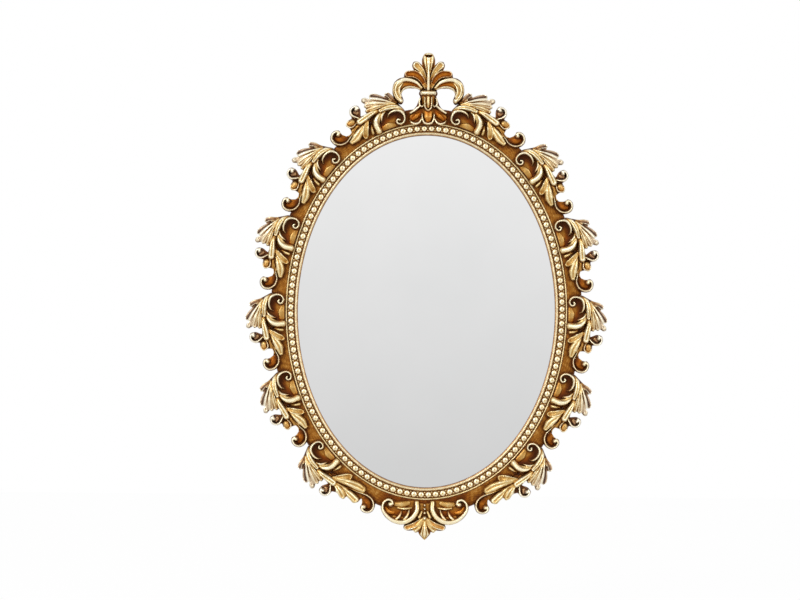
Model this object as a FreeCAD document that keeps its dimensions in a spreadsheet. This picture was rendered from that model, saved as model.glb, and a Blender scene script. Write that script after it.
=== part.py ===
"""Oval wall mirror with a gilt, carved frame.

An oval core moulding carries cast ornaments on its flat front seat: twelve acanthus scrolls, a crest and a
pendant. Behind, a rebate holds the glass and a backing board under six turn buttons, and a ring hangs it.
Millimetres. X is to the viewer's right, Z is up and the front faces -Y. The wall is the plane Y = 0, and the
origin is the point on the wall where the nail stands under the hanger's ring.
"""

import math
import os
from bisect import bisect_left, bisect_right

import FreeCAD
import Part
import Sketcher
from FreeCAD import Rotation, Vector

DIMENSIONS = [
    ("sight_width", 201.0),
    ("sight_height", 275.0),
    ("moulding_width", 21.0),
    ("frame_depth", 10.0),
    ("edge_round", 2.5),
    ("lip_width", 2.7),
    ("channel_width", 5.5),
    ("channel_depth", 1.2),
    ("fillet_width", 1.4),
    ("rebate_width", 5.5),
    ("rebate_clearance", 0.5),
    ("glass_thickness", 3.0),
    ("board_thickness", 3.0),
    ("bead_diameter", 4.0),
    ("bead_gap", 1.62),
    ("ornament_clearance", 0.3),
    ("ornament_height", 9.5),
    ("plate_thickness", 2.0),
    ("leaf_reach", 40.8),
    ("leaf_gap", 0.7),
    ("last_leaf_extra", 9.1),
    ("crest_half_length", 17.0),
    ("crest_half_width", 28.1),
    ("crest_rise", 64.1),
    ("pendant_half_length", 35.4),
    ("pendant_drop", 40.6),
    ("wall_gap", 5.0),
    ("bumper_radius", 6.0),
    ("bumper_face_radius", 5.0),
    ("screw_edge_distance", 4.5),
    ("screw_radius", 1.5),
    ("screw_head_radius", 3.0),
    ("screw_head_height", 1.6),
    ("screw_grip", 6.0),
    ("pilot_clearance", 0.05),
    ("button_width", 9.0),
    ("button_reach", 12.0),
    ("button_thickness", 1.2),
    ("running_clearance", 0.08),
    ("ring_wire_radius", 1.0),
    ("ring_arch_radius", 7.0),
    ("ring_corner_radius", 2.0),
    ("ring_height", 9.0),
    ("nail_radius", 1.5),
    ("strap_width", 9.0),
    ("strap_thickness", 1.0),
    ("strap_end_margin", 3.5),
    ("rivet_radius", 1.25),
    ("rivet_head_radius", 2.4),
    ("rivet_head_height", 0.8),
    ("rivet_ring_clearance", 0.6),
    ("rivet_spacing", 5.0),
]

LEAVES_PER_SIDE = 6
BUTTON_ANGLES = [35.0, 90.0, 145.0, 215.0, 270.0, 325.0]
BUMPER_ANGLE = 118.0

# The leaf scroll is drawn on a strip: along the oval, and outward from the sight edge.
LEAF_LENGTH = 61.2
LONG_LEAF_LENGTH = 71.9
LEAF_FOOT = 9.8
LEAF_TIP = 40.8
CREST_TIP = 64.1
CREST_HALF_WIDTH = 28.1
PENDANT_TIP = 40.6
DRAWN_HEIGHT = 9.5
DRAWN_ROOT = 1.5

# Outlines: each stretch is a smooth curve, and two stretches meet in a notch or a corner.
SCROLL_FOOT = [
    [(3.0, 9.8), (9.4, 9.8), (15.8, 9.8), (22.2, 9.8), (28.6, 9.8)],
    [(28.6, 9.8), (28.4, 14.0), (27.8, 20.3)],
]
SHORT_LEAF_EDGE = [
    [(27.8, 20.3), (31.5, 16.0), (34.6, 11.4), (37.0, 10.2), (39.2, 11.4), (39.4, 13.2)],
    [(39.4, 13.2), (44.5, 11.9), (49.8, 13.2), (51.0, 16.0)],
    [(51.0, 16.0), (54.4, 16.2), (58.4, 18.2), (60.6, 22.5), (60.2, 27.5), (57.0, 30.6), (53.0, 31.0),
     (50.2, 28.6), (50.3, 25.0), (48.8, 21.9)],
    [(48.8, 21.9), (46.5, 21.2), (44.4, 21.8)],
    [(44.4, 21.8), (44.0, 24.6), (45.0, 28.4), (42.6, 30.6), (38.6, 31.0)],
]
LONG_LEAF_EDGE = [
    [(27.8, 20.3), (32.6, 17.2), (38.6, 11.6), (41.6, 10.3), (44.0, 11.4), (44.2, 13.4)],
    [(44.2, 13.4), (51.4, 11.8), (57.6, 12.6), (60.6, 15.8)],
    [(60.6, 15.8), (65.1, 16.2), (69.1, 18.2), (71.3, 22.5), (70.9, 27.5), (67.7, 30.6), (63.7, 31.0),
     (60.9, 28.6), (60.6, 25.0), (59.2, 22.6)],
    [(59.2, 22.6), (58.0, 26.4), (55.4, 28.4), (51.6, 27.6), (49.0, 27.2)],
    [(49.0, 27.2), (48.4, 30.0), (45.4, 30.7), (41.4, 29.6), (38.6, 31.0)],
]
SCROLL_TOP = [
    [(38.6, 31.0), (38.4, 34.6), (36.2, 37.8), (33.4, 38.6), (30.4, 37.2), (29.6, 33.6), (31.6, 28.4)],
    [(31.6, 28.4), (29.6, 28.1), (27.9, 28.4)],
    [(27.9, 28.4), (28.3, 30.0), (26.8, 31.6)],
    [(26.8, 31.6), (27.6, 33.6), (26.4, 35.2)],
    [(26.4, 35.2), (27.6, 38.4), (26.2, 40.4), (23.8, 40.0), (22.0, 38.0)],
    [(22.0, 38.0), (21.2, 40.3), (19.0, 40.8), (15.2, 38.6), (12.2, 35.6)],
    [(12.2, 35.6), (11.5, 37.4), (9.2, 37.9), (6.6, 35.0), (5.0, 29.8), (2.4, 25.2), (0.1, 21.2),
     (-0.3, 16.8), (0.6, 12.4), (3.0, 9.8)],
]

# Lobes: the middle line, then half width and height at each of its points.
SCROLL_LOBES = [
    ([(14.2, 18.4), (11.6, 21.2), (7.8, 21.9), (3.4, 20.3), (1.3, 16.6), (2.3, 12.5), (5.3, 11.0),
      (8.0, 11.9), (8.5, 14.0), (6.6, 15.0)],
     [0.4, 0.8, 1.0, 1.1, 1.0, 0.9, 0.8, 0.8, 0.8, 0.8],
     [3.0, 6.0, 7.5, 8.0, 7.5, 6.5, 5.5, 5.0, 5.0, 5.5]),
    ([(3.6, 23.9), (6.2, 26.0), (10.0, 27.0), (14.0, 27.3), (16.9, 26.3)],
     [0.7, 1.4, 1.9, 1.9, 1.5], [1.5, 7.0, 9.0, 9.5, 8.0]),
    ([(13.0, 23.6), (15.6, 22.3), (17.9, 19.8), (19.2, 16.6)],
     [0.7, 0.9, 0.8, 0.4], [1.5, 6.5, 6.0, 3.5]),
    ([(17.2, 23.7), (20.6, 21.9), (23.8, 19.2), (25.3, 15.4), (25.0, 12.4)],
     [0.7, 1.3, 1.7, 2.0, 2.0], [1.5, 7.0, 7.5, 6.5, 4.5]),
    ([(7.2, 29.3), (7.9, 32.3), (9.2, 35.3)], [0.9, 1.8, 1.7], [1.5, 6.0, 4.5]),
    ([(10.6, 30.4), (13.0, 34.3), (16.2, 37.3), (18.9, 38.6)],
     [0.8, 1.6, 1.9, 1.5], [1.5, 7.0, 6.5, 5.0]),
    ([(13.0, 30.6), (17.8, 33.3), (22.0, 36.6), (24.8, 38.4)],
     [0.7, 1.5, 1.8, 1.5], [1.5, 8.0, 7.0, 5.0]),
    ([(16.6, 29.9), (21.0, 31.5), (25.2, 33.2)], [0.7, 1.3, 1.5], [1.5, 8.0, 6.0]),
    ([(19.4, 28.6), (23.0, 29.2), (26.0, 29.8)], [0.6, 1.0, 1.1], [1.5, 7.0, 5.5]),
    ([(19.3, 26.4), (24.2, 26.1), (29.6, 25.4), (33.0, 24.7)],
     [0.7, 1.5, 2.2, 2.0], [1.5, 7.5, 8.0, 6.5]),
    ([(34.0, 28.2), (36.2, 30.4), (37.2, 33.2), (36.0, 35.9), (33.6, 36.9), (31.6, 35.6), (32.3, 33.9)],
     [0.6, 0.8, 0.9, 0.9, 0.9, 0.9, 0.9], [1.5, 6.0, 6.5, 6.5, 6.5, 6.5, 6.5]),
]
SHORT_LEAF_LOBES = [
    ([(37.2, 26.6), (40.2, 27.4), (42.2, 28.2)], [0.8, 2.0, 1.7], [1.5, 6.0, 5.0]),
    ([(31.2, 21.4), (33.6, 17.6), (36.3, 13.2)], [0.7, 1.6, 1.9], [1.5, 6.5, 4.5]),
    ([(34.6, 20.4), (38.6, 17.6), (43.2, 15.3), (47.2, 14.8)],
     [0.7, 1.7, 2.1, 1.5], [1.5, 7.5, 6.5, 4.0]),
    ([(36.6, 22.6), (41.0, 20.9), (46.6, 19.0), (52.0, 17.9), (56.4, 19.6), (58.9, 23.3), (58.2, 27.2),
      (55.2, 29.3), (52.5, 28.4), (52.2, 26.4)],
     [0.7, 0.9, 0.9, 0.9, 0.9, 0.9, 0.9, 0.9, 0.9, 1.0],
     [1.5, 5.0, 5.0, 5.0, 5.5, 6.0, 6.0, 6.0, 6.5, 6.5]),
]
LONG_LEAF_LOBES = [
    ([(33.0, 21.2), (37.6, 16.8), (41.2, 13.2)], [0.7, 1.7, 1.9], [1.5, 6.5, 4.5]),
    ([(37.6, 20.0), (44.0, 17.0), (50.4, 15.0), (55.4, 14.4)],
     [0.7, 1.7, 2.1, 1.5], [1.5, 7.5, 6.5, 4.0]),
    ([(39.4, 24.4), (43.0, 26.4), (45.8, 28.4)], [0.7, 1.6, 1.6], [1.5, 6.5, 5.0]),
    ([(46.0, 23.4), (50.4, 24.6), (54.6, 26.0)], [0.7, 1.5, 1.6], [1.5, 6.0, 5.0]),
    ([(38.8, 22.4), (45.0, 20.6), (54.0, 18.9), (62.7, 17.9), (67.1, 19.6), (69.6, 23.3), (68.9, 27.2),
      (65.9, 29.3), (63.2, 28.4), (62.9, 26.4)],
     [0.7, 0.9, 0.9, 0.9, 0.9, 0.9, 0.9, 0.9, 0.9, 1.0],
     [1.5, 5.0, 5.0, 5.0, 5.5, 6.0, 6.0, 6.0, 6.5, 6.5]),
]

# Crest and pendant are drawn flat: to the right of the middle, and outward from the sight edge.
PEDESTAL_EDGE = [
    [(0.0, 9.8), (10.0, 9.8)],
    [(10.0, 9.8), (13.6, 11.4), (15.0, 17.4)],
    [(15.0, 17.4), (11.8, 19.6), (9.3, 22.6), (7.8, 26.4), (6.4, 30.0)],
    [(6.4, 30.0), (7.4, 32.2), (6.4, 34.4)],
    [(6.4, 34.4), (0.0, 34.4)],
]
PEDESTAL_LOBES = [
    ([(4.2, 17.6), (6.2, 13.2), (9.4, 11.6), (12.4, 12.8), (13.4, 16.2)],
     [0.6, 0.9, 1.0, 0.9, 0.7], [1.5, 5.0, 5.5, 5.0, 3.5]),
    ([(4.4, 28.6), (5.6, 25.4), (8.0, 21.9), (11.0, 18.8)], [0.8, 1.6, 1.3, 0.8], [1.5, 7.0, 6.0, 4.0]),
]
PEDESTAL_MIDDLE_LOBES = [
    ([(0.0, 18.9), (0.0, 15.6), (0.0, 12.6)], [1.0, 2.4, 2.0], [1.5, 6.0, 4.0]),
    ([(0.0, 29.4), (0.0, 25.2), (0.0, 21.8)], [0.9, 1.9, 1.5], [1.5, 7.5, 6.0]),
    ([(-4.4, 32.2), (0.0, 32.2), (4.4, 32.2)], [1.4, 1.4, 1.4], [8.0, 8.5, 8.0]),
]
PALMETTE_EDGE = [
    [(0.0, 34.4), (5.6, 34.4)],
    [(5.6, 34.4), (8.2, 36.1), (12.4, 36.6), (16.8, 36.3), (19.6, 34.7), (20.7, 31.8), (19.8, 29.2)],
    [(19.8, 29.2), (19.2, 26.6), (20.9, 24.7), (23.6, 26.2), (26.6, 30.4), (28.1, 35.6), (26.2, 41.4),
     (22.6, 44.2), (19.4, 45.0)],
    [(19.4, 45.0), (18.4, 48.6), (15.2, 50.2), (11.6, 50.4)],
    [(11.6, 50.4), (12.9, 54.2), (11.4, 57.2), (8.6, 57.2), (5.2, 54.6)],
    [(5.2, 54.6), (5.1, 59.4), (2.8, 63.4), (0.0, 64.1)],
]
PALMETTE_LOBES = [
    ([(2.2, 40.5), (5.2, 49.2), (9.7, 54.3)], [0.6, 1.5, 2.1], [1.5, 7.5, 6.0]),
    ([(2.4, 37.4), (6.4, 44.2), (11.0, 47.2), (15.4, 47.2)], [0.6, 1.4, 1.9, 2.0], [1.5, 7.0, 7.0, 5.5]),
    ([(5.6, 37.2), (10.8, 41.2), (16.2, 42.4), (21.4, 41.2), (25.2, 36.8), (24.6, 31.4), (21.6, 26.9)],
     [0.6, 1.2, 1.5, 1.8, 1.7, 1.5, 1.4], [1.5, 6.5, 7.0, 7.5, 7.0, 6.5, 6.0]),
    ([(8.8, 38.0), (12.8, 38.5), (16.8, 38.0)], [0.6, 1.2, 1.0], [1.5, 5.0, 4.0]),
    ([(19.6, 38.2), (21.9, 35.6), (22.2, 32.2)], [0.6, 1.1, 0.8], [1.5, 5.0, 4.0]),
]
PALMETTE_MIDDLE_LOBES = [
    ([(0.0, 36.0), (0.0, 45.6), (0.0, 54.4), (0.0, 59.4)], [0.8, 1.3, 3.2, 3.9], [1.5, 7.0, 8.5, 6.0]),
]
PENDANT_SCROLL_EDGE = [
    [(4.0, 9.8), (12.0, 9.8)],
    [(12.0, 9.8), (18.0, 10.5), (22.8, 10.4)],
    [(22.8, 10.4), (25.2, 8.3), (28.6, 7.4), (32.4, 9.6), (34.4, 14.8), (31.6, 22.0), (23.4, 27.6),
     (14.5, 28.4), (7.2, 23.8), (3.9, 17.0), (4.0, 9.8)],
]
PENDANT_SCROLL_LOBES = [
    ([(6.3, 12.6), (6.2, 17.2), (9.6, 22.6), (15.4, 26.0), (22.6, 25.6), (29.6, 21.0), (32.6, 15.2),
      (31.2, 10.8), (28.2, 9.3), (25.8, 10.6), (26.0, 12.8), (27.6, 13.2)],
     [1.8, 2.0, 2.0, 1.6, 1.2, 1.0, 0.9, 0.9, 0.9, 0.9, 0.9, 0.9],
     [4.5, 6.5, 7.5, 8.0, 8.0, 7.5, 6.5, 6.0, 5.5, 5.5, 6.0, 6.0]),
    ([(22.6, 22.6), (20.6, 21.6), (19.0, 19.6), (18.3, 17.4)], [0.7, 0.9, 0.8, 0.4], [1.5, 6.0, 6.0, 3.5]),
    ([(16.4, 22.4), (14.4, 21.4), (12.8, 19.4), (12.1, 17.2)], [0.7, 0.9, 0.8, 0.4], [1.5, 6.0, 6.0, 3.5]),
]
PENDANT_PALMETTE_EDGE = [
    [(0.0, 40.6), (2.4, 38.4), (4.6, 35.4), (5.0, 34.2)],
    [(5.0, 34.2), (7.0, 34.8), (8.8, 33.2)],
    [(8.8, 33.2), (14.4, 33.0), (16.4, 31.4), (16.2, 29.8), (14.4, 29.0)],
    [(14.4, 29.0), (10.3, 27.2), (6.8, 24.2), (4.5, 20.4), (3.4, 16.9), (3.4, 12.0)],
    [(3.4, 12.0), (0.0, 12.0)],
]
PENDANT_PALMETTE_LOBES = [
    ([(3.8, 26.6), (8.4, 29.4), (14.2, 31.2)], [0.7, 1.5, 1.5], [1.5, 6.5, 5.0]),
    ([(3.6, 30.4), (6.6, 33.0)], [0.6, 1.1], [1.5, 5.5]),
]
PENDANT_PALMETTE_MIDDLE_LOBES = [
    ([(0.0, 27.2), (0.0, 31.6), (0.0, 35.2), (0.0, 38.4)], [0.8, 1.7, 3.0, 1.2], [1.5, 7.0, 7.5, 5.0]),
]
PENDANT_KNOBS = [(0.0, 23.0, 2.4), (0.0, 18.8, 1.7), (0.0, 15.2, 1.5)]

SECTION_PITCH = 1.8
LEAST_SECTIONS = 6
TIP_TURNS = [45.0, 75.0]
TIP_SINK = 0.6
ROOT_SHARE = 0.75
HEAD_ROUND_SHARE = 0.6

doc = FreeCAD.newDocument("OvalMirror")


def fill_sheet():
    sheet = doc.addObject("Spreadsheet::Sheet", "Dimensions")
    for row, (alias, value) in enumerate(DIMENSIONS, start=1):
        sheet.set(f"A{row}", alias)
        sheet.set(f"B{row}", str(value))
        sheet.setAlias(f"B{row}", alias)
    doc.recompute()
    return sheet


sheet = fill_sheet()
size = {alias: float(sheet.get(alias)) for alias, _ in DIMENSIONS}
half_width = size["sight_width"] / 2
half_height = size["sight_height"] / 2
rebate_depth = size["glass_thickness"] + size["board_thickness"]
seat_start = size["lip_width"] + size["channel_width"] + size["fillet_width"] + size["ornament_clearance"]
seat_y = -size["wall_gap"] - size["frame_depth"]
arch_crown = size["ring_height"] + size["ring_corner_radius"] + size["ring_arch_radius"]
hang_height = arch_crown - size["ring_wire_radius"] - size["nail_radius"]
centre_z = -half_height - hang_height

rivet_setback = arch_crown - size["ring_height"] + size["ring_wire_radius"]
rivet_setback += size["rivet_head_radius"] + size["rivet_ring_clearance"]

DROP = (
    "-(Dimensions.sight_height / 2 + Dimensions.ring_height + Dimensions.ring_corner_radius"
    " + Dimensions.ring_arch_radius - Dimensions.ring_wire_radius - Dimensions.nail_radius)"
)
RIVET_SETBACK = (
    "(Dimensions.ring_corner_radius + Dimensions.ring_arch_radius + Dimensions.ring_wire_radius"
    " + Dimensions.rivet_head_radius + Dimensions.rivet_ring_clearance)"
)
parts = []


def keep(feature, label):
    feature.Label = label
    parts.append(feature)
    return feature


# The oval


def oval_station(turn):
    """Point on the sight edge and outward direction there, at an angle in radians from the top."""
    edge = Vector(half_width * math.sin(turn), 0, half_height * math.cos(turn))
    outward = Vector(half_height * math.sin(turn), 0, half_width * math.cos(turn))
    outward.normalize()
    return edge, outward


def oval_point(turn, outward_by, y):
    edge, outward = oval_station(turn)
    point = edge + outward * outward_by
    return Vector(point.x, y, point.z + centre_z)


class OvalRule:
    """Distance along the oval, measured from the top on the line at a given offset from the sight edge."""

    STEPS = 1440

    def __init__(self, offset):
        self.turns = [2 * math.pi * i / self.STEPS for i in range(self.STEPS + 1)]
        points = [oval_point(turn, offset, 0) for turn in self.turns]
        self.marks = [0.0]
        for before, after in zip(points, points[1:]):
            self.marks.append(self.marks[-1] + (after - before).Length)

    def turn(self, distance):
        i = min(max(bisect_left(self.marks, distance), 1), self.STEPS)
        share = (distance - self.marks[i - 1]) / (self.marks[i] - self.marks[i - 1])
        return self.turns[i - 1] + share * (self.turns[i] - self.turns[i - 1])

    def total(self):
        return self.marks[-1]


# Relief ornaments: a flat backing plate with lofted lobes on it


def smooth_edge(points):
    if len(points) == 2:
        return Part.makeLine(points[0], points[1])
    curve = Part.BSplineCurve()
    curve.interpolate(points)
    return curve.toShape()


def backing_plate(edges, place):
    outline = Part.Wire(
        [smooth_edge([place(u, v, 0.0) for u, v in stretch]) for stretch in edges]
    )
    return Part.Face(outline).extrude(Vector(0, -size["plate_thickness"], 0))


def relief_height(drawn):
    """Drawn heights follow the tallest relief. A lobe's root stays within the backing plate."""
    root = ROOT_SHARE * size["plate_thickness"]
    return root + (drawn - DRAWN_ROOT) * (size["ornament_height"] - root) / (DRAWN_HEIGHT - DRAWN_ROOT)


def lobe_section(place, at, across, half, height):
    """Half an ellipse across the lobe, closed by a straight foot inside the plate."""
    foot = size["plate_thickness"] / 2
    rise = relief_height(height) - foot
    left = place(at[0] + across[0] * half, at[1] + across[1] * half, foot)
    right = place(at[0] - across[0] * half, at[1] - across[1] * half, foot)
    middle = (left + right) / 2
    side = (left - right) / 2
    points = []
    for degrees in (0, 45, 90, 135, 180):
        angle = math.radians(degrees)
        points.append(middle + side * math.cos(angle) + Vector(0, -rise * math.sin(angle), 0))
    arch = Part.BSplineCurve()
    arch.interpolate(points)
    return Part.Wire([arch.toShape(), Part.makeLine(points[-1], points[0])])


def lobe(line, halves, heights, place):
    middle = Part.BSplineCurve()
    middle.interpolate([Vector(u, v, 0) for u, v in line])
    knots = middle.getKnots()

    def between(values, t):
        i = min(max(bisect_right(knots, t), 1), len(knots) - 1)
        share = (t - knots[i - 1]) / (knots[i] - knots[i - 1])
        return values[i - 1] + share * (values[i] - values[i - 1])

    def rounded_tip(t, sign, half, height):
        end = middle.value(t)
        along = middle.tangent(t)[0] * sign
        sections = []
        for degrees in TIP_TURNS:
            angle = math.radians(degrees)
            ahead = half * math.sin(angle)
            shrink = math.cos(angle)
            at = (end.x + along.x * ahead, end.y + along.y * ahead)
            sink = 1 - TIP_SINK * (1 - shrink)
            across = (-along.y * sign, along.x * sign)
            sections.append(lobe_section(place, at, across, half * shrink, height * sink))
        return sections

    count = max(LEAST_SECTIONS, math.ceil(middle.length() / SECTION_PITCH))
    sections = []
    for i in range(count + 1):
        t = knots[0] + (knots[-1] - knots[0]) * i / count
        at = middle.value(t)
        along = middle.tangent(t)[0]
        sections.append(
            lobe_section(place, (at.x, at.y), (-along.y, along.x), between(halves, t), between(heights, t))
        )
    if heights[0] > 2 * DRAWN_ROOT:
        sections = rounded_tip(knots[0], -1, halves[0], heights[0])[::-1] + sections
    sections += rounded_tip(knots[-1], 1, halves[-1], heights[-1])
    return Part.makeLoft(sections, True, False)


def knob(u, v, radius, place):
    """A round button with its flat foot inside the plate."""
    return Part.makeSphere(radius, place(u, v, size["plate_thickness"] / 2), Vector(0, -1, 0), 0, 90, 360)


def relief(label, edges, lobes, place, knobs=()):
    raised = [lobe(*drawing, place) for drawing in lobes]
    raised += [knob(*drawing, place) for drawing in knobs]
    solid = backing_plate(edges, place).multiFuse(raised)
    feature = doc.addObject("Part::Feature", label)
    feature.Shape = solid.Solids[0] if len(solid.Solids) == 1 else solid
    return keep(feature, label)


def mirrored_relief(source, label):
    feature = doc.addObject("Part::Feature", label)
    feature.Shape = source.Shape.mirror(Vector(0, 0, 0), Vector(1, 0, 0))
    return keep(feature, label)


def reflect_line(line):
    return [(-u, v) for u, v in line]


def both_halves(edges):
    """The drawn right half of a symmetric outline, followed by its reflection on the way back."""
    return edges + [reflect_line(stretch)[::-1] for stretch in edges[::-1]]


def both_lobes(lobes):
    return lobes + [(reflect_line(line), halves, heights) for line, halves, heights in lobes]


def leaf_placer(rule, start, length, drawn_length):
    stretch = length / drawn_length
    reach = (size["leaf_reach"] - seat_start) / (LEAF_TIP - LEAF_FOOT)

    def place(u, v, height):
        turn = rule.turn(start + u * stretch)
        return oval_point(turn, seat_start + (v - LEAF_FOOT) * reach, seat_y - height)

    return place


def flat_placer(direction, reach, drawn_reach, widen):
    """Places a flat drawing above (direction 1) or below (direction -1) the oval."""
    stretch = (reach - seat_start) / (drawn_reach - LEAF_FOOT)

    def place(u, v, height):
        out = half_height + seat_start + (v - LEAF_FOOT) * stretch
        return Vector(u * widen, seat_y - height, centre_z + direction * out)

    return place


def make_leaves():
    rule = OvalRule((seat_start + size["moulding_width"]) / 2 + size["ornament_clearance"])
    free = rule.total() / 2 - size["crest_half_length"] - size["pendant_half_length"]
    pitch = (free - size["last_leaf_extra"]) / LEAVES_PER_SIDE
    right = []
    for number in range(1, LEAVES_PER_SIDE + 1):
        start = size["crest_half_length"] + (number - 1) * pitch
        if number < LEAVES_PER_SIDE:
            place = leaf_placer(rule, start, pitch - size["leaf_gap"], LEAF_LENGTH)
            edges = SCROLL_FOOT + SHORT_LEAF_EDGE + SCROLL_TOP
            lobes = SCROLL_LOBES + SHORT_LEAF_LOBES
        else:
            length = pitch + size["last_leaf_extra"] - size["leaf_gap"]
            place = leaf_placer(rule, start, length, LONG_LEAF_LENGTH)
            edges = SCROLL_FOOT + LONG_LEAF_EDGE + SCROLL_TOP
            lobes = SCROLL_LOBES + LONG_LEAF_LOBES
        right.append(relief(f"acanthus_right_{number}", edges, lobes, place))
    for number, leaf in enumerate(right, start=1):
        mirrored_relief(leaf, f"acanthus_left_{number}")


def make_crest():
    widen = size["crest_half_width"] / CREST_HALF_WIDTH
    place = flat_placer(1, size["crest_rise"], CREST_TIP, widen)
    relief(
        "crest_pedestal",
        both_halves(PEDESTAL_EDGE),
        both_lobes(PEDESTAL_LOBES) + PEDESTAL_MIDDLE_LOBES,
        place,
    )
    relief(
        "crest_palmette",
        both_halves(PALMETTE_EDGE),
        both_lobes(PALMETTE_LOBES) + PALMETTE_MIDDLE_LOBES,
        place,
    )


def make_pendant():
    place = flat_placer(-1, size["pendant_drop"], PENDANT_TIP, 1.0)
    scroll = relief("pendant_scroll_right", PENDANT_SCROLL_EDGE, PENDANT_SCROLL_LOBES, place)
    mirrored_relief(scroll, "pendant_scroll_left")
    relief(
        "pendant_palmette",
        both_halves(PENDANT_PALMETTE_EDGE),
        both_lobes(PENDANT_PALMETTE_LOBES) + PENDANT_PALMETTE_MIDDLE_LOBES,
        place,
        PENDANT_KNOBS,
    )


# Sketch helpers for the turned, pressed and moulded pieces


def new_body(name):
    return doc.addObject("PartDesign::Body", name)


def new_sketch(body, name, plane):
    sketch = body.newObject("Sketcher::SketchObject", name)
    support = [f for f in body.Origin.OriginFeatures if f.Role == plane][0]
    sketch.AttachmentSupport = [(support, "")]
    sketch.MapMode = "FlatFace"
    doc.recompute()
    return sketch


def amount(sketch, expression):
    result = sketch.evalExpression(expression)
    return float(getattr(result, "Value", result))


def drive(sketch, kind, references, name, expression):
    index = sketch.addConstraint(Sketcher.Constraint(kind, *references, amount(sketch, expression)))
    sketch.renameConstraint(index, name)
    sketch.setExpression(f"Constraints.{name}", expression)


def pin_point(sketch, geometry, point, name, x, y):
    """Holds a sketch point at two expressions, measured from the sketch's origin."""
    drive(sketch, "DistanceX", (-1, 1, geometry, point), f"{name}_x", x)
    drive(sketch, "DistanceY", (-1, 1, geometry, point), f"{name}_y", y)


def draw_ellipse(sketch, width, height):
    top = Vector(0, amount(sketch, height) / 2, 0)
    side = Vector(amount(sketch, width) / 2, 0, 0)
    sketch.addGeometry(Part.Ellipse(top, side, Vector(0, 0, 0)))
    sketch.exposeInternalGeometry(0)
    sketch.addConstraint(Sketcher.Constraint("Coincident", 0, 3, -1, 1))
    sketch.addConstraint(Sketcher.Constraint("Vertical", 1))
    drive(sketch, "Distance", (1,), "oval_height", height)
    drive(sketch, "Distance", (2,), "oval_width", width)


def draw_circle(sketch, name, x, y, radius):
    centre = Vector(amount(sketch, x), amount(sketch, y), 0)
    circle = sketch.addGeometry(Part.Circle(centre, Vector(0, 0, 1), amount(sketch, radius)))
    pin_point(sketch, circle, 3, name, x, y)
    drive(sketch, "Radius", (circle,), f"{name}_radius", radius)
    return circle


def draw_profile(sketch, corners, rounds):
    """A closed chain through corners, given as expressions. Sides named in rounds are arcs that turn left:
    each has its centre's place, of which one part ("x" or "y") is held."""
    places = [Vector(amount(sketch, x), amount(sketch, y), 0) for x, y in corners]
    sides = []
    for i, start in enumerate(places):
        end = places[(i + 1) % len(places)]
        if i in rounds:
            centre = Vector(amount(sketch, rounds[i][0]), amount(sketch, rounds[i][1]), 0)
            circle = Part.Circle(centre, Vector(0, 0, 1), (start - centre).Length)
            first = math.atan2(start.y - centre.y, start.x - centre.x)
            last = math.atan2(end.y - centre.y, end.x - centre.x)
            if last <= first:
                last += 2 * math.pi
            sides.append(sketch.addGeometry(Part.ArcOfCircle(circle, first, last)))
        else:
            sides.append(sketch.addGeometry(Part.LineSegment(start, end)))
    for i, side in enumerate(sides):
        following = sides[(i + 1) % len(sides)]
        sketch.addConstraint(Sketcher.Constraint("Coincident", side, 2, following, 1))
        pin_point(sketch, side, 1, f"corner_{i}", *corners[i])
    for i, (x, y, held) in rounds.items():
        kind, expression = ("DistanceX", x) if held == "x" else ("DistanceY", y)
        drive(sketch, kind, (-1, 1, sides[i], 3), f"centre_{i}", expression)


def pad(body, sketch, name, length):
    feature = body.newObject("PartDesign::Pad", name)
    feature.Profile = sketch
    feature.setExpression("Length", length)
    return feature


def pocket_through(body, sketch, name):
    feature = body.newObject("PartDesign::Pocket", name)
    feature.Profile = sketch
    feature.Type = "ThroughAll"
    feature.SideType = "Symmetric"
    return feature


# Frame, glass and board


def make_frame():
    body = new_body("frame_blank")
    spine = new_sketch(body, "sight_edge", "XZ_Plane")
    draw_ellipse(spine, "Dimensions.sight_width", "Dimensions.sight_height")
    section = new_sketch(body, "moulding_section", "YZ_Plane")
    sight = "Dimensions.sight_height / 2"
    lip = f"{sight} + Dimensions.lip_width"
    channel = f"{lip} + Dimensions.channel_width"
    fillet = f"{channel} + Dimensions.fillet_width"
    rim = f"{sight} + Dimensions.moulding_width"
    rebate = f"{sight} + Dimensions.rebate_width"
    back = "-Dimensions.wall_gap"
    front = f"{back} - Dimensions.frame_depth"
    glass_face = f"{back} - Dimensions.board_thickness - Dimensions.glass_thickness"
    floor = f"{front} + Dimensions.channel_depth"
    corners = [
        (glass_face, sight),
        (glass_face, rebate),
        (back, rebate),
        (back, rim),
        (f"{front} + Dimensions.edge_round", rim),
        (front, f"{rim} - Dimensions.edge_round"),
        (front, fillet),
        (front, channel),
        (floor, channel),
        (floor, lip),
        (front, lip),
        (front, sight),
    ]
    rounds = {
        4: (f"{front} + Dimensions.edge_round", f"{rim} - Dimensions.edge_round", "x"),
        6: (front, f"{channel} + Dimensions.fillet_width / 2", "x"),
        10: (front, f"{sight} + Dimensions.lip_width / 2", "x"),
    }
    draw_profile(section, corners, rounds)
    pipe = body.newObject("PartDesign::AdditivePipe", "moulding")
    pipe.Profile = section
    pipe.Spine = (spine, ["Edge1"])
    body.setExpression("Placement.Base.z", DROP)
    doc.recompute()

    pilots = doc.addObject("Part::Feature", "screw_pilots")
    radius = size["screw_radius"] + size["pilot_clearance"]
    pilots.Shape = Part.makeCompound(
        [
            Part.makeCylinder(radius, size["screw_grip"] + size["pilot_clearance"], pivot, Vector(0, -1, 0))
            for pivot in screw_points()
        ]
    )
    frame = doc.addObject("Part::Cut", "frame")
    frame.Base = body
    frame.Tool = pilots
    keep(frame, "oval_frame")


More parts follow.
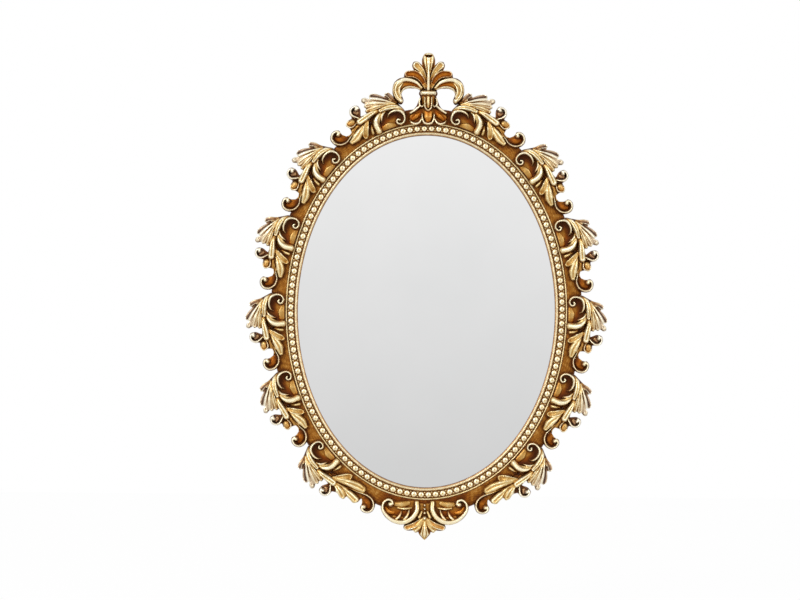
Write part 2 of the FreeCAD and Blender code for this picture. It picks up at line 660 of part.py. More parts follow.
def make_oval_sheet(name, front_setback, thickness, holes):
    """A flat oval that lies in the rebate with its clearance."""
    body = new_body(name)
    outline = new_sketch(body, f"{name}_outline", "XZ_Plane")
    border = "2 * (Dimensions.rebate_width - Dimensions.rebate_clearance)"
    draw_ellipse(outline, f"Dimensions.sight_width + {border}", f"Dimensions.sight_height + {border}")
    pad(body, outline, f"{name}_pad", thickness)
    if holes:
        drill = new_sketch(body, f"{name}_holes", "XZ_Plane")
        radius = "Dimensions.rivet_radius + Dimensions.pilot_clearance"
        first = f"Dimensions.sight_height / 2 + Dimensions.ring_height - {RIVET_SETBACK}"
        draw_circle(drill, "upper", "0", first, radius)
        draw_circle(drill, "lower", "0", f"{first} - Dimensions.rivet_spacing", radius)
        doc.recompute()
        pocket_through(body, drill, f"{name}_drilled")
    body.setExpression("Placement.Base.y", f"-Dimensions.wall_gap - {front_setback}")
    body.setExpression("Placement.Base.z", DROP)
    keep(body, name)


def make_beads():
    offset = size["lip_width"] + size["channel_width"] / 2
    rule = OvalRule(offset)
    count = round(rule.total() / (size["bead_diameter"] + size["bead_gap"]))
    floor_y = seat_y + size["channel_depth"]
    beads = []
    for i in range(count):
        turn = rule.turn((i + 0.5) * rule.total() / count)
        centre = oval_point(turn, offset, floor_y)
        beads.append(Part.makeSphere(size["bead_diameter"] / 2, centre, Vector(0, -1, 0), 0, 90, 360))
    feature = doc.addObject("Part::Feature", "sight_beads")
    feature.Shape = Part.makeCompound(beads)
    keep(feature, "sight_beads")


# Hardware on the back


def screw_points():
    offset = size["rebate_width"] + size["screw_edge_distance"]
    return [oval_point(math.radians(angle), offset, -size["wall_gap"]) for angle in BUTTON_ANGLES]


def make_turn_buttons():
    for number, (angle, pivot) in enumerate(zip(BUTTON_ANGLES, screw_points()), start=1):
        name = f"turn_button_{number}"
        body = new_body(name)
        outline = new_sketch(body, f"{name}_outline", "XZ_Plane")
        half = "Dimensions.button_width / 2"
        reach = "Dimensions.button_reach"
        corners = [("0", f"-({half})"), (reach, f"-({half})"), (reach, half), ("0", half)]
        draw_profile(outline, corners, {1: (reach, "0", "x"), 3: ("0", "0", "x")})
        draw_circle(outline, "hole", "0", "0", "Dimensions.screw_radius + Dimensions.running_clearance")
        pad(body, outline, f"{name}_pad", "Dimensions.button_thickness")
        outward = oval_station(math.radians(angle))[1]
        turned = math.degrees(math.atan2(outward.z, -outward.x))
        rear = pivot.y + size["running_clearance"] + size["button_thickness"]
        place = Vector(pivot.x, rear, pivot.z)
        body.Placement = FreeCAD.Placement(place, Rotation(Vector(0, 1, 0), turned))
        keep(body, name)


def make_screws():
    under_head = 2 * size["running_clearance"] + size["button_thickness"]
    screws = []
    for pivot in screw_points():
        seat = pivot + Vector(0, under_head, 0)
        tip = pivot - Vector(0, size["screw_grip"], 0)
        shank = Part.makeCylinder(size["screw_radius"], (seat - tip).Length, tip, Vector(0, 1, 0))
        head = Part.makeCylinder(size["screw_head_radius"], size["screw_head_height"], seat, Vector(0, 1, 0))
        crown = [e for e in head.Edges if e.BoundBox.YMin > seat.y and len(e.Vertexes) == 1]
        head = head.makeFillet(size["screw_head_height"] * HEAD_ROUND_SHARE, crown)
        screws.append(shank.fuse(head))
    feature = doc.addObject("Part::Feature", "turn_button_screws")
    feature.Shape = Part.makeCompound(screws)
    keep(feature, "turn_button_screws")


EYE_BORE = "(Dimensions.ring_wire_radius + Dimensions.running_clearance)"
EYE_OUTSIDE = f"({EYE_BORE} + Dimensions.strap_thickness)"
EYE_Z = (
    "(Dimensions.ring_wire_radius + Dimensions.nail_radius"
    " - Dimensions.ring_corner_radius - Dimensions.ring_arch_radius)"
)


def place_at_eye(body):
    """The strap's eye and the ring share this axis."""
    body.setExpression("Placement.Base.y", f"-Dimensions.wall_gap + {EYE_OUTSIDE}")
    body.setExpression("Placement.Base.z", EYE_Z)


def make_hanger_strap():
    body = new_body("hanger_strap")
    section = new_sketch(body, "strap_section", "YZ_Plane")
    inner = f"-{EYE_OUTSIDE} + Dimensions.strap_thickness"
    meeting = f"-sqrt({EYE_OUTSIDE} ^ 2 - ({inner}) ^ 2)"
    foot = f"-{RIVET_SETBACK} - Dimensions.rivet_spacing - Dimensions.strap_end_margin"
    corners = [
        (f"-{EYE_OUTSIDE}", "0"),
        (f"-{EYE_OUTSIDE}", foot),
        (inner, foot),
        (inner, meeting),
    ]
    draw_profile(section, corners, {3: ("0", "0", "x")})
    draw_circle(section, "bore", "0", "0", EYE_BORE)
    feature = pad(body, section, "strap_pad", "Dimensions.strap_width")
    feature.SideType = "Symmetric"
    doc.recompute()
    drill = new_sketch(body, "strap_holes", "XZ_Plane")
    radius = "Dimensions.rivet_radius + Dimensions.pilot_clearance"
    draw_circle(drill, "upper", "0", f"-{RIVET_SETBACK}", radius)
    draw_circle(drill, "lower", "0", f"-{RIVET_SETBACK} - Dimensions.rivet_spacing", radius)
    doc.recompute()
    pocket_through(body, drill, "strap_drilled")
    place_at_eye(body)
    keep(body, "hanger_strap")


def make_hanger_ring():
    body = new_body("hanger_ring")
    path = new_sketch(body, "ring_path", "XZ_Plane")
    arch = "Dimensions.ring_arch_radius"
    corner = "Dimensions.ring_corner_radius"
    flat = f"{arch} - {corner}"
    corners = [
        ("0", "0"),
        (flat, "0"),
        (arch, corner),
        (f"-{arch}", corner),
        (f"-({flat})", "0"),
    ]
    rounds = {
        1: (flat, corner, "x"),
        2: ("0", corner, "y"),
        3: (f"-({flat})", corner, "y"),
    }
    draw_profile(path, corners, rounds)
    wire = new_sketch(body, "ring_wire", "YZ_Plane")
    draw_circle(wire, "wire", "0", "0", "Dimensions.ring_wire_radius")
    doc.recompute()
    pipe = body.newObject("PartDesign::AdditivePipe", "ring_sweep")
    pipe.Profile = wire
    pipe.Spine = (path, [f"Edge{i + 1}" for i in range(len(corners))])
    place_at_eye(body)
    keep(body, "hanger_ring")


def make_rivets():
    strap_rear = -size["wall_gap"] + size["strap_thickness"]
    eye_z = centre_z + half_height + size["ring_height"]
    length = size["strap_thickness"] + size["board_thickness"] - size["pilot_clearance"]
    rivets = []
    for row in range(2):
        z = eye_z - rivet_setback - row * size["rivet_spacing"]
        seat = Vector(0, strap_rear, z)
        shank = Part.makeCylinder(size["rivet_radius"], length, seat - Vector(0, length, 0), Vector(0, 1, 0))
        head = Part.makeCylinder(size["rivet_head_radius"], size["rivet_head_height"], seat, Vector(0, 1, 0))
        crown = [e for e in head.Edges if e.BoundBox.YMin > seat.y and len(e.Vertexes) == 1]
        head = head.makeFillet(size["rivet_head_height"] * HEAD_ROUND_SHARE, crown)
        rivets.append(shank.fuse(head))
    feature = doc.addObject("Part::Feature", "hanger_rivets")
    feature.Shape = Part.makeCompound(rivets)
    keep(feature, "hanger_rivets")


def make_bumpers():
    for label, angle in (("wall_bumper_right", BUMPER_ANGLE), ("wall_bumper_left", 360 - BUMPER_ANGLE)):
        bumper = doc.addObject("Part::Cone", label)
        bumper.setExpression("Radius1", "Dimensions.bumper_radius")
        bumper.setExpression("Radius2", "Dimensions.bumper_face_radius")
        bumper.setExpression("Height", "Dimensions.wall_gap")
        foot = oval_point(
            math.radians(angle),
            (size["rebate_width"] + size["moulding_width"]) / 2,
            -size["wall_gap"],
        )
        bumper.Placement = FreeCAD.Placement(foot, Rotation(Vector(0, 0, 1), Vector(0, 1, 0)))
        keep(bumper, label)


make_frame()
make_beads()
make_leaves()
make_crest()
make_pendant()
make_oval_sheet("mirror_glass", "Dimensions.board_thickness", "Dimensions.glass_thickness", holes=False)
make_oval_sheet("backing_board", "0", "Dimensions.board_thickness", holes=True)
make_turn_buttons()
make_screws()
make_hanger_strap()
make_hanger_ring()
make_rivets()
make_bumpers()
doc.recompute()

for item in doc.Objects:
    if "Invalid" in item.State or "Error" in item.State:
        raise RuntimeError(f"{item.Label} failed: {item.State}")
for item in parts:
    if item.Shape.isNull() or not item.Shape.isValid():
        raise RuntimeError(f"{item.Label} has no valid shape")

os.makedirs("parts", exist_ok=True)
for item in parts:
    item.Shape.exportStep(f"parts/{item.Label}.step")
    print(item.Label, len(item.Shape.Solids), round(item.Shape.Volume, 1))
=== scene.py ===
import math

import bpy
import numpy as np
from mathutils import Matrix, Vector


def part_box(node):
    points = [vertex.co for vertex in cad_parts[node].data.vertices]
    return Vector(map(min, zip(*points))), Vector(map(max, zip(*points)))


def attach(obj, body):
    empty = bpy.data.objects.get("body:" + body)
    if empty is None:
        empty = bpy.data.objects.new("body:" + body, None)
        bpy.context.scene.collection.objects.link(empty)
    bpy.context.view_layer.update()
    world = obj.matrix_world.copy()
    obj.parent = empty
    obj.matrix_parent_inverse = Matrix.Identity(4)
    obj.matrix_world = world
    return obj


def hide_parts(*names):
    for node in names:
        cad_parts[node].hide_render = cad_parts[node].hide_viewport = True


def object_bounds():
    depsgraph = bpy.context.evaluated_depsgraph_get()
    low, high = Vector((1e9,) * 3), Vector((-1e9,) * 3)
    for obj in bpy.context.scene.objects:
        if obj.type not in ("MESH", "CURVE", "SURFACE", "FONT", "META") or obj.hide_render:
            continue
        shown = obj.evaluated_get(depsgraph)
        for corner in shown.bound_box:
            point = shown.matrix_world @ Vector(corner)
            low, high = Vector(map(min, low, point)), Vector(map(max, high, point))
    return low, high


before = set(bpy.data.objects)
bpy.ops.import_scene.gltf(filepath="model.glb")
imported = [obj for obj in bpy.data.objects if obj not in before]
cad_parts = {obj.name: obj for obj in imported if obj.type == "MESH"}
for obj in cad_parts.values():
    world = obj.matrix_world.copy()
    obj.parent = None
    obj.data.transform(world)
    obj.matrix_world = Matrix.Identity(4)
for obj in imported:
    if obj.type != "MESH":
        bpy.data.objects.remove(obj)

CAD_LOW, CAD_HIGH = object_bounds()
MM = 0.001

# Sizes in millimetres and counts, as the solids have them
LIP_WIDTH = 2.7
CHANNEL_WIDTH = 5.5
CHANNEL_DEPTH = 1.2
FILLET_WIDTH = 1.4
ORNAMENT_CLEARANCE = 0.3
MOULDING_WIDTH = 21.0
EDGE_ROUND = 2.5
REBATE_WIDTH = 5.5
GLASS_BORDER = 5.0
CREST_HALF_LENGTH = 17.0
PENDANT_HALF_LENGTH = 35.4
LEAF_GAP = 0.7
LAST_LEAF_EXTRA = 9.1
LEAVES_PER_SIDE = 6
BEAD_COUNT = 140
BUTTON_COUNT = 6
LEAF_FOOT = 9.8
LEAF_LENGTH = 61.2
LONG_LEAF_LENGTH = 71.9

glass_low, glass_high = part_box("mirror_glass")
frame_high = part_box("oval_frame")[1]
seat_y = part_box("acanthus_right_3")[1].y / MM
back_y = frame_high.y / MM
glass_face_y = glass_low.y / MM
half_width = (glass_high.x - glass_low.x) / 2 / MM - GLASS_BORDER
half_height = (glass_high.z - glass_low.z) / 2 / MM - GLASS_BORDER
centre_z = (glass_high.z + glass_low.z) / 2 / MM
seat_start = LIP_WIDTH + CHANNEL_WIDTH + FILLET_WIDTH + ORNAMENT_CLEARANCE

# Outlines: stretches of smooth curve that meet in notches and corners
SCROLL_FOOT = [
    [(3.0, 9.8), (12.0, 9.8), (21.2, 9.8)],
    [(21.2, 9.8), (22.4, 8.7), (24.8, 8.2), (27.2, 8.7), (28.6, 9.8)],
    [(28.6, 9.8), (30.8, 10.2), (31.7, 12.2), (30.6, 15.2), (27.8, 20.3)],
]
SHORT_LEAF_EDGE = [
    [(27.8, 20.3), (31.5, 16.0), (34.6, 11.4), (37.0, 10.2), (39.2, 11.4), (39.4, 13.2)],
    [(39.4, 13.2), (44.5, 11.9), (49.8, 13.2), (51.0, 16.0)],
    [(51.0, 16.0), (54.4, 16.2), (58.4, 18.2), (60.6, 22.5), (60.2, 27.5), (57.0, 30.6), (53.0, 31.0),
     (50.2, 28.6), (50.3, 25.0), (48.8, 21.9)],
    [(48.8, 21.9), (46.5, 21.2), (44.4, 21.8)],
    [(44.4, 21.8), (44.0, 24.6), (45.0, 28.4), (42.6, 30.6), (38.6, 31.0)],
]
LONG_LEAF_EDGE = [
    [(27.8, 20.3), (32.6, 17.2), (38.6, 11.6), (41.6, 10.3), (44.0, 11.4), (44.2, 13.4)],
    [(44.2, 13.4), (51.4, 11.8), (57.6, 12.6), (60.6, 15.8)],
    [(60.6, 15.8), (65.1, 16.2), (69.1, 18.2), (71.3, 22.5), (70.9, 27.5), (67.7, 30.6), (63.7, 31.0),
     (60.9, 28.6), (60.6, 25.0), (59.2, 22.6)],
    [(59.2, 22.6), (58.0, 26.4), (55.4, 28.4), (51.6, 27.6), (49.0, 27.2)],
    [(49.0, 27.2), (48.4, 30.0), (45.4, 30.7), (41.4, 29.6), (38.6, 31.0)],
]
SCROLL_TOP = [
    [(38.6, 31.0), (38.4, 34.6), (36.2, 37.8), (33.4, 38.6), (30.4, 37.2), (29.6, 33.6), (31.6, 28.4)],
    [(31.6, 28.4), (29.6, 28.1), (27.9, 28.4)],
    [(27.9, 28.4), (28.3, 30.0), (26.8, 31.6)],
    [(26.8, 31.6), (27.6, 33.6), (26.4, 35.2)],
    [(26.4, 35.2), (27.6, 38.4), (26.2, 40.4), (23.8, 40.0), (22.0, 38.0)],
    [(22.0, 38.0), (21.2, 40.3), (19.0, 40.8), (15.2, 38.6), (12.2, 35.6)],
    [(12.2, 35.6), (11.5, 37.4), (9.2, 37.9), (6.6, 35.0), (5.0, 29.8), (2.4, 25.2), (0.1, 21.2),
     (-0.3, 16.8), (0.6, 12.4), (3.0, 9.8)],
]
PEDESTAL_EDGE = [
    [(0.0, 7.8), (5.0, 7.6), (10.0, 7.5)],
    [(10.0, 7.5), (14.0, 9.6), (15.0, 17.4)],
    [(15.0, 17.4), (11.8, 19.6), (9.3, 22.6), (7.8, 26.4), (6.4, 30.0)],
    [(6.4, 30.0), (7.4, 32.2), (6.4, 35.0)],
    [(6.4, 35.0), (0.0, 35.0)],
]
PALMETTE_EDGE = [
    [(0.0, 33.8), (5.6, 33.8)],
    [(5.6, 33.8), (8.2, 35.6), (12.4, 36.1), (16.8, 35.8), (19.6, 34.3), (20.7, 31.8), (19.8, 29.2)],
    [(19.8, 29.2), (19.1, 26.3), (20.9, 23.6), (24.5, 25.0), (27.4, 29.8), (28.1, 35.6), (26.2, 41.4),
     (22.6, 44.2), (19.4, 45.0)],
    [(19.4, 45.0), (18.4, 48.6), (15.2, 50.2), (11.6, 50.4)],
    [(11.6, 50.4), (12.9, 54.2), (11.4, 57.2), (8.6, 57.2), (5.2, 54.6)],
    [(5.2, 54.6), (5.1, 59.4), (2.8, 63.4), (0.0, 64.1)],
]
PENDANT_SCROLL_EDGE = [
    [(4.0, 9.8), (12.0, 9.8)],
    [(12.0, 9.8), (18.0, 10.5), (22.8, 10.4)],
    [(22.8, 10.4), (25.2, 8.3), (28.6, 7.4), (32.4, 9.6), (34.4, 14.8), (31.6, 22.0), (23.4, 27.6),
     (14.5, 28.4), (7.2, 23.8), (3.9, 17.0), (4.0, 9.8)],
]
PENDANT_PALMETTE_EDGE = [
    [(0.0, 40.6), (2.4, 38.4), (4.6, 35.4), (5.0, 34.2)],
    [(5.0, 34.2), (7.0, 34.8), (8.8, 33.2)],
    [(8.8, 33.2), (14.4, 33.0), (16.4, 31.4), (16.4, 29.4), (14.6, 28.0)],
    [(14.6, 28.0), (10.5, 26.2), (7.3, 23.2), (5.3, 19.6), (4.3, 16.5), (4.3, 12.0)],
    [(4.3, 12.0), (0.0, 12.0)],
]

# Strokes of relief: cross-section, middle line, then half width and height at each of its points
SCROLL_STROKES = [
    ("blade", [(1.8, 19.5), (6.0, 23.8), (11.5, 26.2), (17.5, 26.6)],
     [1.4, 2.9, 3.6, 3.0], [4.8, 6.2, 6.6, 5.8]),
    ("blade", [(7.0, 28.0), (11.5, 31.8), (16.5, 34.6)], [2.2, 4.6, 5.6], [4.4, 4.8, 4.2]),
    ("blade", [(12.0, 29.0), (18.0, 31.0), (23.0, 32.6)], [2.0, 3.6, 4.6], [4.8, 5.2, 4.6]),
    ("blade", [(14.5, 24.6), (18.5, 23.0), (22.5, 19.8), (24.8, 15.8), (25.2, 11.6)],
     [1.6, 2.2, 2.6, 2.8, 3.0], [5.2, 6.2, 6.0, 5.4, 4.4]),
    ("blade", [(18.0, 26.6), (25.0, 26.4), (31.0, 25.4), (35.0, 24.6)],
     [2.2, 3.0, 3.4, 3.0], [5.6, 6.2, 6.0, 4.8]),
    ("blade", [(11.0, 11.6), (15.0, 12.2), (19.8, 12.0)], [1.6, 2.8, 2.4], [2.4, 2.9, 2.6]),
    ("rim", [(14.4, 18.6), (13.2, 20.6), (10.9, 21.8), (7.6, 22.2), (3.9, 20.9), (1.7, 17.4), (1.7, 13.8),
             (3.6, 11.6), (6.4, 11.3), (8.2, 12.6), (8.1, 14.3), (6.8, 15.1), (5.7, 14.3)],
     [0.3, 0.6, 0.95, 1.15, 1.15, 1.0, 0.85, 0.75, 0.75, 0.8, 0.85, 0.9, 0.9],
     [4.5, 6.5, 7.6, 8.6, 8.8, 8.4, 7.6, 6.8, 6.4, 6.4, 6.6, 6.8, 6.8]),
    ("ribbed", [(2.0, 21.6), (5.2, 24.2), (9.4, 25.6), (13.6, 26.0), (17.8, 25.8)],
     [0.9, 1.8, 2.3, 2.3, 1.8], [4.8, 8.0, 9.6, 9.8, 8.2]),
    ("rim", [(14.2, 24.0), (16.8, 22.6), (18.8, 19.9), (20.0, 16.8)],
     [0.8, 0.95, 0.85, 0.35], [5.0, 7.0, 6.8, 4.0]),
    ("round", [(17.0, 24.3), (20.8, 22.5), (23.8, 19.6), (25.0, 16.0), (24.8, 11.6)],
     [0.9, 1.9, 2.6, 3.0, 2.9], [5.0, 7.6, 8.4, 7.8, 6.6]),
    ("cut", [(20.4, 24.4), (25.2, 20.8), (27.2, 16.4), (27.2, 12.6)],
     [0.4, 0.5, 0.5, 0.4], [0.8, 1.3, 1.3, 1.0]),
    ("round", [(28.4, 17.8), (29.5, 14.8), (29.9, 12.4)], [0.9, 1.7, 1.7], [4.2, 5.6, 4.8]),
    ("hollow", [(6.0, 28.2), (7.4, 32.0), (9.1, 35.4)], [1.2, 2.8, 2.9], [4.6, 6.4, 5.8]),
    ("hollow", [(8.2, 29.6), (11.8, 33.6), (15.8, 36.9), (19.0, 38.7)],
     [1.2, 2.6, 3.1, 2.6], [5.0, 7.2, 7.2, 6.0]),
    ("ribbed", [(6.4, 27.2), (11.6, 30.2), (17.6, 33.9), (24.4, 37.8)],
     [1.0, 2.0, 2.8, 3.1], [6.0, 8.0, 7.8, 6.4]),
    ("ribbed", [(8.4, 27.6), (13.6, 29.4), (19.6, 31.5), (25.2, 33.4)],
     [1.0, 1.8, 2.6, 2.9], [6.4, 8.6, 8.0, 6.6]),
    ("ribbed", [(12.4, 28.0), (17.0, 28.6), (21.8, 29.1), (26.2, 29.6)],
     [0.9, 1.4, 1.9, 2.1], [6.4, 8.2, 7.8, 6.8]),
    ("round", [(28.0, 22.4), (35.0, 22.8), (42.0, 22.0), (47.5, 20.4)],
     [1.2, 2.0, 1.6, 1.0], [3.4, 4.4, 3.8, 3.0]),
    ("ribbed", [(19.6, 26.6), (24.4, 26.3), (29.4, 25.5), (34.6, 24.8)],
     [1.2, 2.2, 2.9, 2.8], [6.0, 8.4, 8.8, 7.6]),
    ("round", [(33.4, 32.0), (34.6, 33.8)], [1.7, 1.7], [3.0, 3.4]),
    ("rim", [(33.6, 27.2), (35.8, 29.8), (37.2, 32.6), (36.6, 35.5),
             (34.3, 37.1), (31.9, 36.5), (31.1, 34.6)],
     [0.6, 0.75, 0.8, 0.8, 0.85, 0.9, 0.9], [5.2, 6.4, 7.0, 7.0, 7.0, 7.0, 6.8]),
    ("round", [(32.4, 34.9), (32.7, 34.7)], [1.7, 1.7], [7.4, 7.4]),
]
SHORT_LEAF_STROKES = [
    ("blade", [(29.6, 22.4), (35.0, 18.4), (41.0, 16.4), (46.0, 15.8)],
     [1.4, 3.0, 3.6, 1.8], [5.0, 6.0, 5.4, 4.0]),
    ("round", [(39.8, 27.4), (41.8, 27.6)], [2.8, 2.8], [5.0, 5.0]),
    ("rim", [(36.8, 25.6), (39.0, 24.7), (41.8, 24.4), (43.8, 26.4), (43.6, 29.2), (41.0, 30.2)],
     [0.45, 0.55, 0.65, 0.7, 0.65, 0.5], [4.8, 5.8, 6.4, 6.4, 5.8, 4.8]),
    ("round", [(51.0, 20.6), (54.4, 22.6), (55.6, 25.2)], [1.8, 2.6, 1.8], [2.2, 2.9, 2.6]),
    ("rim", [(36.6, 22.8), (41.0, 20.9), (46.6, 18.9), (52.0, 17.6),
             (56.6, 19.2), (59.1, 23.2), (58.5, 27.2),
             (55.4, 29.4), (52.4, 28.8), (51.5, 26.6)],
     [0.4, 0.45, 0.5, 0.6, 0.7, 0.75, 0.75, 0.8, 0.95, 0.9],
     [2.8, 4.4, 5.0, 5.4, 6.0, 6.4, 6.6, 6.8, 7.0, 6.8]),
    ("round", [(52.7, 26.6), (53.0, 26.4)], [1.8, 1.8], [7.4, 7.4]),
    ("ribbed", [(33.2, 21.0), (38.4, 18.0), (43.4, 15.9), (48.4, 15.2)],
     [1.3, 3.1, 3.8, 2.0], [5.2, 7.2, 6.6, 5.0]),
    ("dished", [(29.6, 22.0), (32.8, 18.4), (35.0, 14.8), (36.2, 12.9)],
     [1.2, 2.8, 3.4, 2.7], [5.0, 7.4, 6.8, 5.4]),
]
LONG_LEAF_STROKES = [
    ("blade", [(32.0, 22.4), (40.0, 18.2), (48.0, 16.2), (55.0, 15.4)],
     [1.6, 3.4, 3.8, 3.0], [5.0, 6.2, 5.6, 4.0]),
    ("blade", [(36.0, 24.2), (44.0, 24.6), (53.0, 24.8)], [1.8, 4.0, 3.8], [5.2, 6.2, 5.2]),
    ("round", [(61.2, 20.6), (65.0, 22.6), (66.2, 25.2)], [1.8, 2.6, 1.8], [2.2, 2.9, 2.6]),
    ("rim", [(38.8, 22.6), (45.0, 20.8), (54.0, 18.9), (62.7, 17.6),
             (67.3, 19.2), (69.8, 23.2), (69.2, 27.2),
             (66.1, 29.4), (63.1, 28.8), (62.2, 26.6)],
     [0.4, 0.45, 0.5, 0.6, 0.7, 0.75, 0.75, 0.8, 0.95, 0.9],
     [2.8, 4.4, 5.0, 5.4, 6.0, 6.4, 6.6, 6.8, 7.0, 6.8]),
    ("round", [(63.4, 26.6), (63.7, 26.4)], [1.8, 1.8], [7.4, 7.4]),
    ("ribbed", [(42.0, 23.4), (49.0, 24.0), (55.4, 25.4)], [1.2, 3.2, 3.4], [5.0, 7.2, 6.2]),
    ("ribbed", [(36.0, 25.0), (41.0, 26.2), (46.0, 28.6)], [1.2, 3.0, 3.2], [5.2, 7.6, 6.4]),
    ("ribbed", [(37.0, 20.2), (44.0, 17.0), (50.4, 15.4), (56.2, 15.2)],
     [1.3, 3.2, 4.0, 3.1], [5.2, 7.4, 6.6, 5.0]),
    ("dished", [(32.4, 21.4), (37.4, 16.6), (40.8, 13.4)], [1.2, 3.0, 3.3], [5.0, 7.4, 5.8]),
]
PEDESTAL_STROKES = [
    ("blade", [(4.0, 19.4), (8.0, 16.4), (12.2, 13.4)], [2.0, 3.0, 2.6], [2.6, 3.0, 2.6]),
    ("round", [(6.2, 17.6), (9.0, 15.0), (11.8, 12.4)], [1.4, 2.2, 1.6], [3.0, 4.2, 3.2]),
    ("rim", [(5.2, 12.4), (6.8, 9.8), (9.8, 8.6), (12.6, 9.4), (14.2, 11.4)],
     [0.7, 0.9, 1.0, 0.8, 0.4], [4.8, 5.6, 6.0, 5.0, 3.6]),
    ("rim", [(6.6, 22.4), (8.6, 20.6), (11.4, 18.6), (14.0, 17.0)],
     [0.8, 1.0, 1.0, 0.8], [6.6, 6.4, 5.8, 4.8]),
    ("rim", [(6.2, 28.6), (6.9, 25.4), (6.2, 22.8), (4.7, 22.0), (3.6, 23.4)],
     [0.65, 0.7, 0.75, 0.7, 0.5], [5.8, 6.4, 6.8, 7.0, 6.2]),
    ("rim", [(2.7, 29.2), (2.7, 24.6), (2.0, 20.6), (0.0, 18.9)],
     [0.6, 0.65, 0.7, 0.75], [7.0, 7.4, 7.8, 8.0]),
    ("rim", [(4.7, 16.6), (4.4, 12.6), (3.0, 9.6), (0.0, 8.5)],
     [0.5, 0.7, 0.85, 0.9], [4.8, 5.8, 6.0, 6.0]),
]
PEDESTAL_MIDDLE_STROKES = [
    ("round", [(0.0, 18.0), (0.0, 14.0), (0.0, 11.4)], [3.6, 3.6, 2.6], [3.8, 4.4, 3.8]),
    ("blade", [(0.0, 29.4), (0.0, 25.0)], [5.4, 5.0], [4.8, 4.8]),
    ("round", [(0.0, 29.4), (0.0, 25.0), (0.0, 21.6)], [2.0, 2.0, 1.5], [6.4, 6.4, 5.4]),
    ("round", [(-4.2, 32.6), (0.0, 32.6), (4.2, 32.6)], [2.2, 2.3, 2.2], [8.6, 9.3, 8.6]),
]
PALMETTE_STROKES = [
    ("blade", [(5.6, 36.6), (11.0, 39.6), (16.2, 40.2), (20.8, 39.2),
               (23.6, 36.0), (24.2, 32.0), (22.8, 28.4)],
     [1.6, 2.6, 3.2, 3.6, 3.6, 3.2, 2.2], [4.4, 4.6, 4.8, 5.2, 5.2, 5.2, 5.0]),
    ("blade", [(6.0, 40.6), (11.0, 44.0), (17.4, 45.0)], [1.2, 1.8, 1.6], [4.0, 4.4, 4.2]),
    ("blade", [(2.4, 38.0), (6.4, 46.0), (10.6, 51.0)], [2.0, 4.0, 4.6], [4.6, 5.4, 4.6]),
    ("blade", [(0.8, 42.0), (3.0, 50.0), (4.0, 56.0)], [2.0, 3.0, 3.2], [4.8, 5.6, 5.0]),
    ("hollow", [(2.0, 36.6), (6.0, 44.0), (10.8, 47.2), (15.6, 47.4)],
     [1.4, 2.9, 3.5, 3.2], [5.4, 7.8, 7.8, 6.6]),
    ("dished", [(1.6, 41.0), (5.0, 49.2), (9.2, 54.0)], [1.0, 2.3, 3.2], [5.6, 8.6, 7.4]),
    ("rim", [(6.6, 35.4), (11.0, 37.0), (15.6, 37.1), (19.2, 35.4), (21.2, 32.4)],
     [0.6, 0.9, 1.0, 1.0, 0.8], [5.4, 6.4, 6.8, 6.6, 6.0]),
    ("rim", [(5.4, 36.8), (9.4, 40.6), (13.6, 42.3), (17.6, 42.8), (20.6, 42.2)],
     [1.0, 1.5, 1.7, 1.8, 1.8], [5.4, 7.6, 8.2, 8.2, 8.2]),
    ("veined", [(20.6, 42.0), (24.4, 39.0), (25.7, 34.6), (24.3, 30.0), (21.8, 26.8)],
     [2.0, 2.5, 2.5, 2.3, 1.8], [8.0, 8.2, 7.8, 7.4, 7.0]),
    ("rim", [(19.8, 40.2), (22.4, 36.6), (22.6, 32.6), (21.2, 29.4)],
     [0.7, 1.1, 1.1, 0.7], [6.2, 7.4, 7.2, 6.4]),
    ("round", [(21.3, 26.2), (21.7, 26.8)], [2.0, 2.0], [7.6, 7.6]),
]
PALMETTE_MIDDLE_STROKES = [
    ("veined", [(0.0, 42.0), (0.0, 49.0), (0.0, 55.6), (0.0, 59.6)],
     [1.1, 2.2, 4.2, 4.7], [5.6, 7.8, 8.8, 7.8]),
    ("rim", [(0.0, 35.4), (0.0, 45.0), (0.0, 53.0)], [1.4, 1.4, 0.7], [7.0, 9.0, 8.6]),
    ("cut", [(-2.2, 61.6), (0.0, 61.2), (2.2, 61.6)], [1.0, 1.3, 1.0], [2.6, 3.4, 2.6]),
]
PENDANT_SCROLL_STROKES = [
    ("round", [(13.0, 11.8), (18.0, 12.8), (22.4, 12.6)], [2.0, 2.8, 2.0], [3.0, 3.8, 3.2]),
    ("round", [(10.4, 15.6), (16.0, 16.2), (21.0, 15.6)], [0.8, 1.3, 0.8], [3.0, 4.4, 3.2]),
    ("round", [(24.6, 19.4), (28.4, 18.6), (30.6, 15.6)], [1.4, 2.4, 1.6], [2.6, 3.6, 3.0]),
    ("blade", [(12.0, 23.4), (18.0, 24.0), (24.0, 22.8)], [1.6, 2.2, 1.6], [3.6, 4.0, 3.6]),
    ("rim", [(6.0, 11.4), (5.9, 16.8), (8.9, 22.3), (14.8, 26.1), (22.4, 26.0), (29.4, 21.6), (33.0, 15.4),
             (31.6, 10.7), (28.4, 9.0), (25.6, 10.2), (24.9, 12.4)],
     [1.9, 2.0, 2.2, 2.1, 1.8, 1.4, 1.1, 1.1, 1.05, 1.0, 0.85],
     [5.0, 6.8, 7.8, 8.4, 8.4, 7.8, 7.0, 6.6, 6.6, 6.6, 6.6]),
    ("round", [(26.6, 12.7), (26.9, 12.6)], [2.1, 2.1], [7.2, 7.2]),
    ("rim", [(22.8, 24.6), (20.6, 22.8), (19.0, 20.4), (18.2, 18.0)],
     [1.2, 1.3, 1.1, 0.45], [6.4, 7.2, 6.4, 4.0]),
    ("rim", [(16.4, 24.8), (14.4, 22.6), (12.8, 19.8), (12.0, 17.0)],
     [1.2, 1.3, 1.1, 0.45], [6.4, 7.2, 6.4, 4.0]),
]
